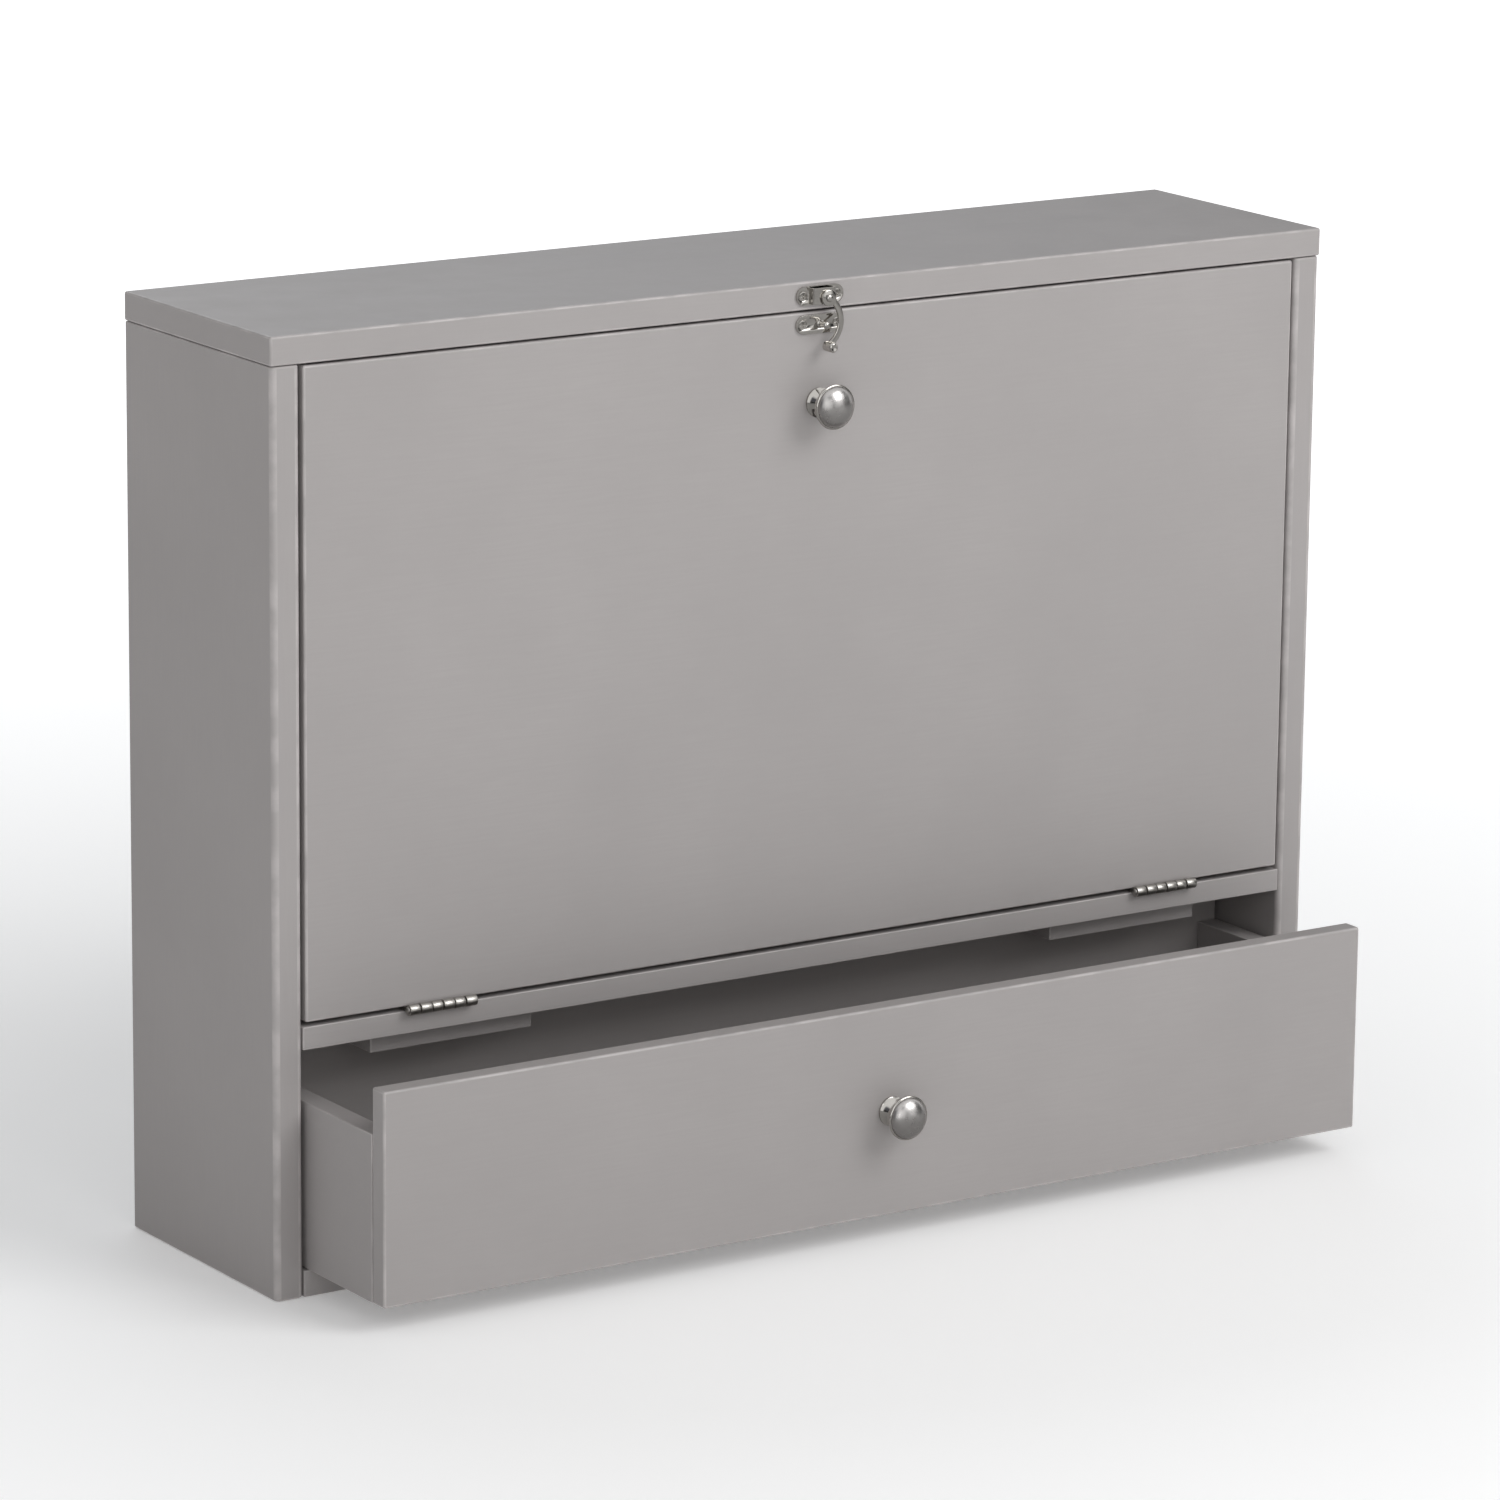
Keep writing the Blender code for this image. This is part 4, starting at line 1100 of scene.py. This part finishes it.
@dataclass
class FoldingStays:
    """A two-link stay at each side of the writing flap; the left one is modelled and mirrored."""

    joints: dict[str, Vector]
    link_w: float = 10.0 * MM
    arris: float = 0.3 * MM
    hole_r: float = 2.06 * MM
    stud_r: float = 2.0 * MM
    head_r: float = 3.2 * MM
    plate_t: float = 1.5 * MM
    plate_corner: float = 2.5 * MM
    foot_reach: float = 14.0 * MM

    def link(self, node: str, pivot: Vector) -> bpy.types.Object:
        """A flat bar with round ends from a pivot to the elbow.

        Args:
            node: The frame node that gives its thickness.
            pivot: The joint at its other end.

        Returns:
            The bar, drilled at both ends.
        """
        low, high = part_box(node)
        elbow = middle_of("left_stay_elbow_rivet")
        run = Vector((0, elbow.y - pivot.y, elbow.z - pivot.z))
        half_t, half_w, half_l = (high.x - low.x) / 2, self.link_w / 2, (run.length + self.link_w) / 2
        piece = Bench.block(node + "_bar", (-half_t, -half_w, -half_l), (half_t, half_w, half_l))
        Bench.bevel_where(piece, lambda a, b: abs(a.x - b.x) > half_t, half_w - 0.02 * MM, 12)
        for end in (-1, 1):
            at = (-half_t - MM, 0, end * run.length / 2)
            hole = Bench.rod("hole", at, Toward.RIGHT, self.hole_r, 2 * half_t + 2 * MM)
            Bench.combine(piece, hole, "DIFFERENCE")
        Bench.ease(piece, self.arris, 3)
        middle = Vector(((low.x + high.x) / 2, (elbow.y + pivot.y) / 2, (elbow.z + pivot.z) / 2))
        tilt = Matrix.Rotation(-math.atan2(run.y, run.z), 4, "X")
        piece.matrix_world = Matrix.Translation(middle) @ tilt
        Bench.take(piece)
        return Bench.settle(piece.name)

    def rivet(self) -> bpy.types.Object:
        """The elbow's rivet, domed at both ends.

        Returns:
            The left-hand stay's rivet.
        """
        low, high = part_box("left_stay_elbow_rivet")
        middle = (low + high) / 2
        length, rise, flat = high.x - low.x, 0.5 * MM, 0.1 * MM
        cap = dome(self.head_r, rise, range(0, 85, 12))
        outline = [(r, rise - h) for r, h in reversed(cap)]
        outline += [(self.head_r, rise + flat), (self.stud_r, rise + flat), (self.stud_r, length - rise - flat),
                    (self.head_r, length - rise - flat)]
        outline += [(r, length - rise + h) for r, h in cap]
        piece = Bench.turned("left_stay_domed_rivet", outline, (low.x, middle.y, middle.z), Toward.RIGHT, 40)
        return Bench.ease(piece, 0.0, angle=35)

    def stud(self, start: Vector, toward: Toward, length: float) -> bpy.types.Object:
        """A headed stud to be joined to a plate, from inside the plate to the top of its head.

        Args:
            start: Where the stud begins, inside the plate.
            toward: The way that it points.
            length: From its start to the top of its head.

        Returns:
            The stud.
        """
        dome, head_h = 0.25 * MM, 0.7 * MM
        under = length - head_h
        outline = [(self.stud_r, 0), (self.stud_r, under), (self.head_r, under), (self.head_r, length - dome),
                   (self.head_r - 0.25 * MM, length - 0.08 * MM), (self.head_r - 0.6 * MM, length)]
        return Bench.turned("stud", outline, start, toward, 40)

    def plate(self, name: str, low: Vector, high: Vector, axis: int) -> bpy.types.Object:
        """A flat plate whose corners are rounded where they run along an axis (0 for X, 1 for Y).

        Args:
            name: The plate's name.
            low: Its lowest corner.
            high: Its highest corner.
            axis: The axis that the rounded corners run along, 0 for X and 1 for Y.

        Returns:
            The plate.
        """
        piece = Bench.block(name, low, high)
        Bench.bevel_where(piece, lambda a, b: abs(a[axis] - b[axis]) > 0.5 * (high[axis] - low[axis]),
                          self.plate_corner, 6)
        return piece

    def sink_screws(self, piece: bpy.types.Object, prefix: str, toward: Toward) -> None:
        """Countersink a plate for its two screws.

        Args:
            piece: The plate to cut.
            prefix: What the names of the screws' frame nodes begin with.
            toward: The way that the screws' heads face.
        """
        for number in (1, 2):
            low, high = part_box(f"{prefix}_{number}")
            top = (low + high) / 2 + toward.vector * abs((high - low).dot(toward.vector)) / 2
            sink = Bench.turned("countersink", [(1.5 * MM, -3 * MM), (1.5 * MM, -0.95 * MM), (2.6 * MM, -0.05 * MM),
                                                (2.6 * MM, MM)], top, toward, 32)
            Bench.combine(piece, sink, "DIFFERENCE")

    def wall_plate(self) -> bpy.types.Object:
        """The plate on the side of the case, with the stud of the rear link.

        Returns:
            The left-hand stay's wall plate.
        """
        low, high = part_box("left_stay_wall_plate")
        pivot = self.joints["left_stay_rear_pivot"]
        piece = self.plate("left_stay_screwed_plate", low, Vector((low.x + self.plate_t, high.y, high.z)), 0)
        self.sink_screws(piece, "left_stay_wall_screw", Toward.RIGHT)
        start = Vector((low.x + self.plate_t / 2, pivot.y, pivot.z))
        Bench.combine(piece, self.stud(start, Toward.RIGHT, high.x - start.x), "UNION")
        return Bench.ease(piece, 0.2 * MM, 2)

    def door_bracket(self) -> bpy.types.Object:
        """The angle bracket behind the drop front, with the stud of the front link.

        Returns:
            The left-hand stay's bracket.
        """
        low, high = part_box("left_stay_door_bracket")
        pivot = self.joints["left_stay_front_pivot"]
        ear_high_x = high.x - self.foot_reach
        ear_low = Vector((ear_high_x - self.plate_t, low.y, low.z))
        piece = self.plate("left_stay_angle_bracket", ear_low, Vector((ear_high_x, high.y, high.z)), 0)
        foot_high = Vector((high.x, low.y + self.plate_t, high.z))
        foot = self.plate("foot", Vector((ear_low.x, low.y, low.z)), foot_high, 1)
        Bench.combine(piece, foot, "UNION")
        self.sink_screws(piece, "left_stay_door_screw", Toward.BACK)
        start = Vector((ear_high_x - self.plate_t / 2, pivot.y, pivot.z))
        Bench.combine(piece, self.stud(start, Toward.LEFT, start.x - low.x), "UNION")
        return Bench.ease(piece, 0.2 * MM, 2)

    def build(self) -> None:
        """Build both stays."""
        for end, body in (("rear", Body.LEFT_STAY_REAR), ("front", Body.LEFT_STAY_FRONT)):
            node = f"left_stay_{end}_link"
            fit_both(self.link(node, self.joints[f"left_stay_{end}_pivot"]), Finish.SATIN, body, node)
        fit_both(self.rivet(), Finish.SATIN, Body.LEFT_STAY_REAR, "left_stay_elbow_rivet")
        fit_both(self.wall_plate(), Finish.SATIN, Body.CABINET, "left_stay_wall_plate")
        fit_both(self.door_bracket(), Finish.SATIN, Body.DROP_FRONT, "left_stay_door_bracket")


# ---------------------------------------------------------------- all the screws

def drive_screws() -> None:
    """Put a screw in each place that the frame has one."""
    wood, machine = CrossScrew(), PanScrew()
    for number in (1, 2):
        wood.place(f"latch_plate_screw_{number}", Body.CABINET, Toward.FRONT, Finish.POLISHED)
        wood.place(f"catch_plate_screw_{number}", Body.DROP_FRONT, Toward.FRONT, Finish.POLISHED)
        for side, inward in (("left", Toward.RIGHT), ("right", Toward.LEFT)):
            wood.place(f"{side}_hinge_lower_screw_{number}", Body.CABINET, Toward.UP, Finish.STEEL)
            wood.place(f"{side}_hinge_upper_screw_{number}", Body.DROP_FRONT, Toward.DOWN, Finish.STEEL)
            wood.place(f"{side}_stay_wall_screw_{number}", Body.CABINET, inward, Finish.STEEL)
            wood.place(f"{side}_stay_door_screw_{number}", Body.DROP_FRONT, Toward.BACK, Finish.STEEL)
    for knob, body in (("drop_front_knob", Body.DROP_FRONT), ("drawer_knob", Body.DRAWER)):
        low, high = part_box(knob + "_screw")
        machine.length = high.y - low.y
        machine.master = None
        machine.place(knob + "_screw", body, Toward.BACK, Finish.STEEL)
        machine.put_away()
    wood.put_away()


# ---------------------------------------------------------------- studio

@dataclass(frozen=True)
class Lamp:
    """A soft area light aimed at the desk."""

    name: str
    azimuth: float
    elevation: float
    distance: float
    size: float
    power: float
    colour: Colour = (1.0, 1.0, 1.0)

    def build(self, target: Vector) -> None:
        """Hang the lamp and point it at the target.

        Args:
            target: The point to light.
        """
        data = bpy.data.lights.new(self.name, "AREA")
        data.size = self.size
        data.energy = self.power
        data.color = self.colour
        lamp = bpy.data.objects.new(self.name, data)
        bpy.context.scene.collection.objects.link(lamp)
        offset = direction(self.azimuth, self.elevation) * self.distance
        lamp.location = target + offset
        lamp.rotation_euler = (-offset).to_track_quat("-Z", "Y").to_euler()


@dataclass(frozen=True)
class Studio:
    """The camera, lights and floor."""

    azimuth: float = -33.4
    elevation: float = 13.65
    roll: float = 0.6
    distance: float = 3.84
    aim: Point = (0.0027, -0.0102, 0.2335)
    focal_length: float = 174.0
    surround: float = 0.40
    softboxes: float = 5.0
    softbox_turn: float = 0.6
    dark: float = 0.05
    bright: float = 1.0
    floor_colour: Colour = (0.9, 0.9, 0.9)
    floor_in_metal: Colour = (0.42, 0.415, 0.41)
    floor_glow: float = 0.2
    far_glow: float = 0.75
    lamps: tuple[Lamp, ...] = (
        Lamp("key", 28, 38, 3.2, 1.8, 42),
        Lamp("front_fill", -20, 15, 4.2, 2.6, 26),
        Lamp("left_fill", -80, 30, 3.5, 2.4, 1.5, (0.80, 0.82, 1.0)),
        Lamp("back_fill", 160, 40, 3.5, 2.5, 16, (0.86, 0.93, 1.0)),
    )

    def build_camera(self) -> None:
        """Stand the camera at the viewing angle, with its small roll."""
        data = bpy.data.cameras.new("camera")
        data.lens = self.focal_length
        data.sensor_width = 36.0
        data.clip_start = 0.05
        camera = bpy.data.objects.new("camera", data)
        bpy.context.scene.collection.objects.link(camera)
        back = direction(self.azimuth, self.elevation)
        right = Vector((0, 0, 1)).cross(back).normalized()
        up = back.cross(right)
        turn = math.radians(self.roll)
        rolled_right = right * math.cos(turn) + up * math.sin(turn)
        rolled_up = back.cross(rolled_right)
        axes = Matrix((rolled_right, rolled_up, back)).transposed().to_4x4()
        camera.matrix_world = Matrix.Translation(Vector(self.aim) + back * self.distance) @ axes
        bpy.context.scene.camera = camera

    def build_floor(self) -> None:
        """A flat pale floor that glows more away from the desk, and looks darker in bare metal."""
        Bench.clear()
        bpy.ops.mesh.primitive_plane_add(size=14, location=(0, 0, -0.0004))
        floor = Bench.settle("floor")
        nodes = NodeTree(bpy.data.materials.new("studio_floor"))
        shader = nodes.tree.nodes["Principled BSDF"]
        bounced = nodes.add("LightPath").outputs["Is Glossy Ray"]
        nodes.feed(shader.inputs["Base Color"], nodes.mix(bounced, self.floor_colour, self.floor_in_metal))
        away = nodes.add("VectorMath", {"operation": "LENGTH"}, _0=nodes.add("TexCoord").outputs["Object"])
        glow = nodes.spread(away.outputs["Value"], self.floor_glow, self.far_glow, 0.4, 2.4)
        unseen = nodes.math("SUBTRACT", 1.0, bounced)
        shader.inputs["Emission Color"].default_value = (1, 1, 1, 1)
        nodes.feed(shader.inputs["Emission Strength"], nodes.math("MULTIPLY", glow, unseen))
        nodes.feed(shader.inputs["Roughness"], nodes.spread(nodes.noise(4.0), 0.75, 0.9))
        floor.data.materials.append(nodes.owner)

    def build_world(self) -> None:
        """An even white surround, in which bare metal sees upright softboxes with dark between them."""
        nodes = NodeTree(bpy.data.worlds.new("surround"))
        even = nodes.tree.nodes["Background"]
        even.inputs["Color"].default_value = (1, 1, 1, 1)
        even.inputs["Strength"].default_value = self.surround
        way = nodes.add("SeparateXYZ", Vector=nodes.add("TexCoord").outputs["Generated"])
        around = nodes.math("ARCTAN2", way.outputs["X"], way.outputs["Y"])
        turned = nodes.math("ADD", nodes.math("MULTIPLY", around, self.softboxes), self.softbox_turn)
        wave = nodes.math("SINE", turned)
        boxes = nodes.spread(wave, self.dark, self.bright, -0.35, 0.55)
        overhead = nodes.spread(way.outputs["Z"], 0, 1, 0.55, 0.8)
        shade = nodes.add("Mix", {"data_type": "FLOAT"}, _0=overhead, _2=boxes, _3=self.bright)
        seen = nodes.add("Background", Color=(1, 1, 1, 1), Strength=shade.outputs[0])
        glossy = nodes.add("LightPath").outputs["Is Glossy Ray"]
        either = nodes.add("MixShader", _0=glossy, _1=even.outputs[0], _2=seen.outputs[0])
        nodes.feed(nodes.tree.nodes["World Output"].inputs["Surface"], either.outputs[0])
        bpy.context.scene.world = nodes.owner

    def build(self) -> None:
        """Set the whole studio up."""
        self.build_camera()
        self.build_floor()
        self.build_world()
        for lamp in self.lamps:
            lamp.build(Vector(self.aim))
        bpy.context.scene.view_settings.view_transform = "Standard"


def main() -> None:
    """Load the frame, and build every piece and the studio."""
    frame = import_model()
    joints = {joint["name"]: Vector(joint["pos_m"]) for joint in frame["record"]["behaviour"]["joints"]
              if "pos_m" in joint}
    Carcass().build()
    MushroomKnob("drop_front_knob", Body.DROP_FRONT).build()
    MushroomKnob("drawer_knob", Body.DRAWER).build()
    SwingHookLatch().build()
    ButtHinges().build()
    FoldingStays(joints).build()
    drive_screws()
    Studio().build()


if __name__ == "__main__":
    logging.basicConfig(level=logging.INFO, format="%(message)s")
    main()
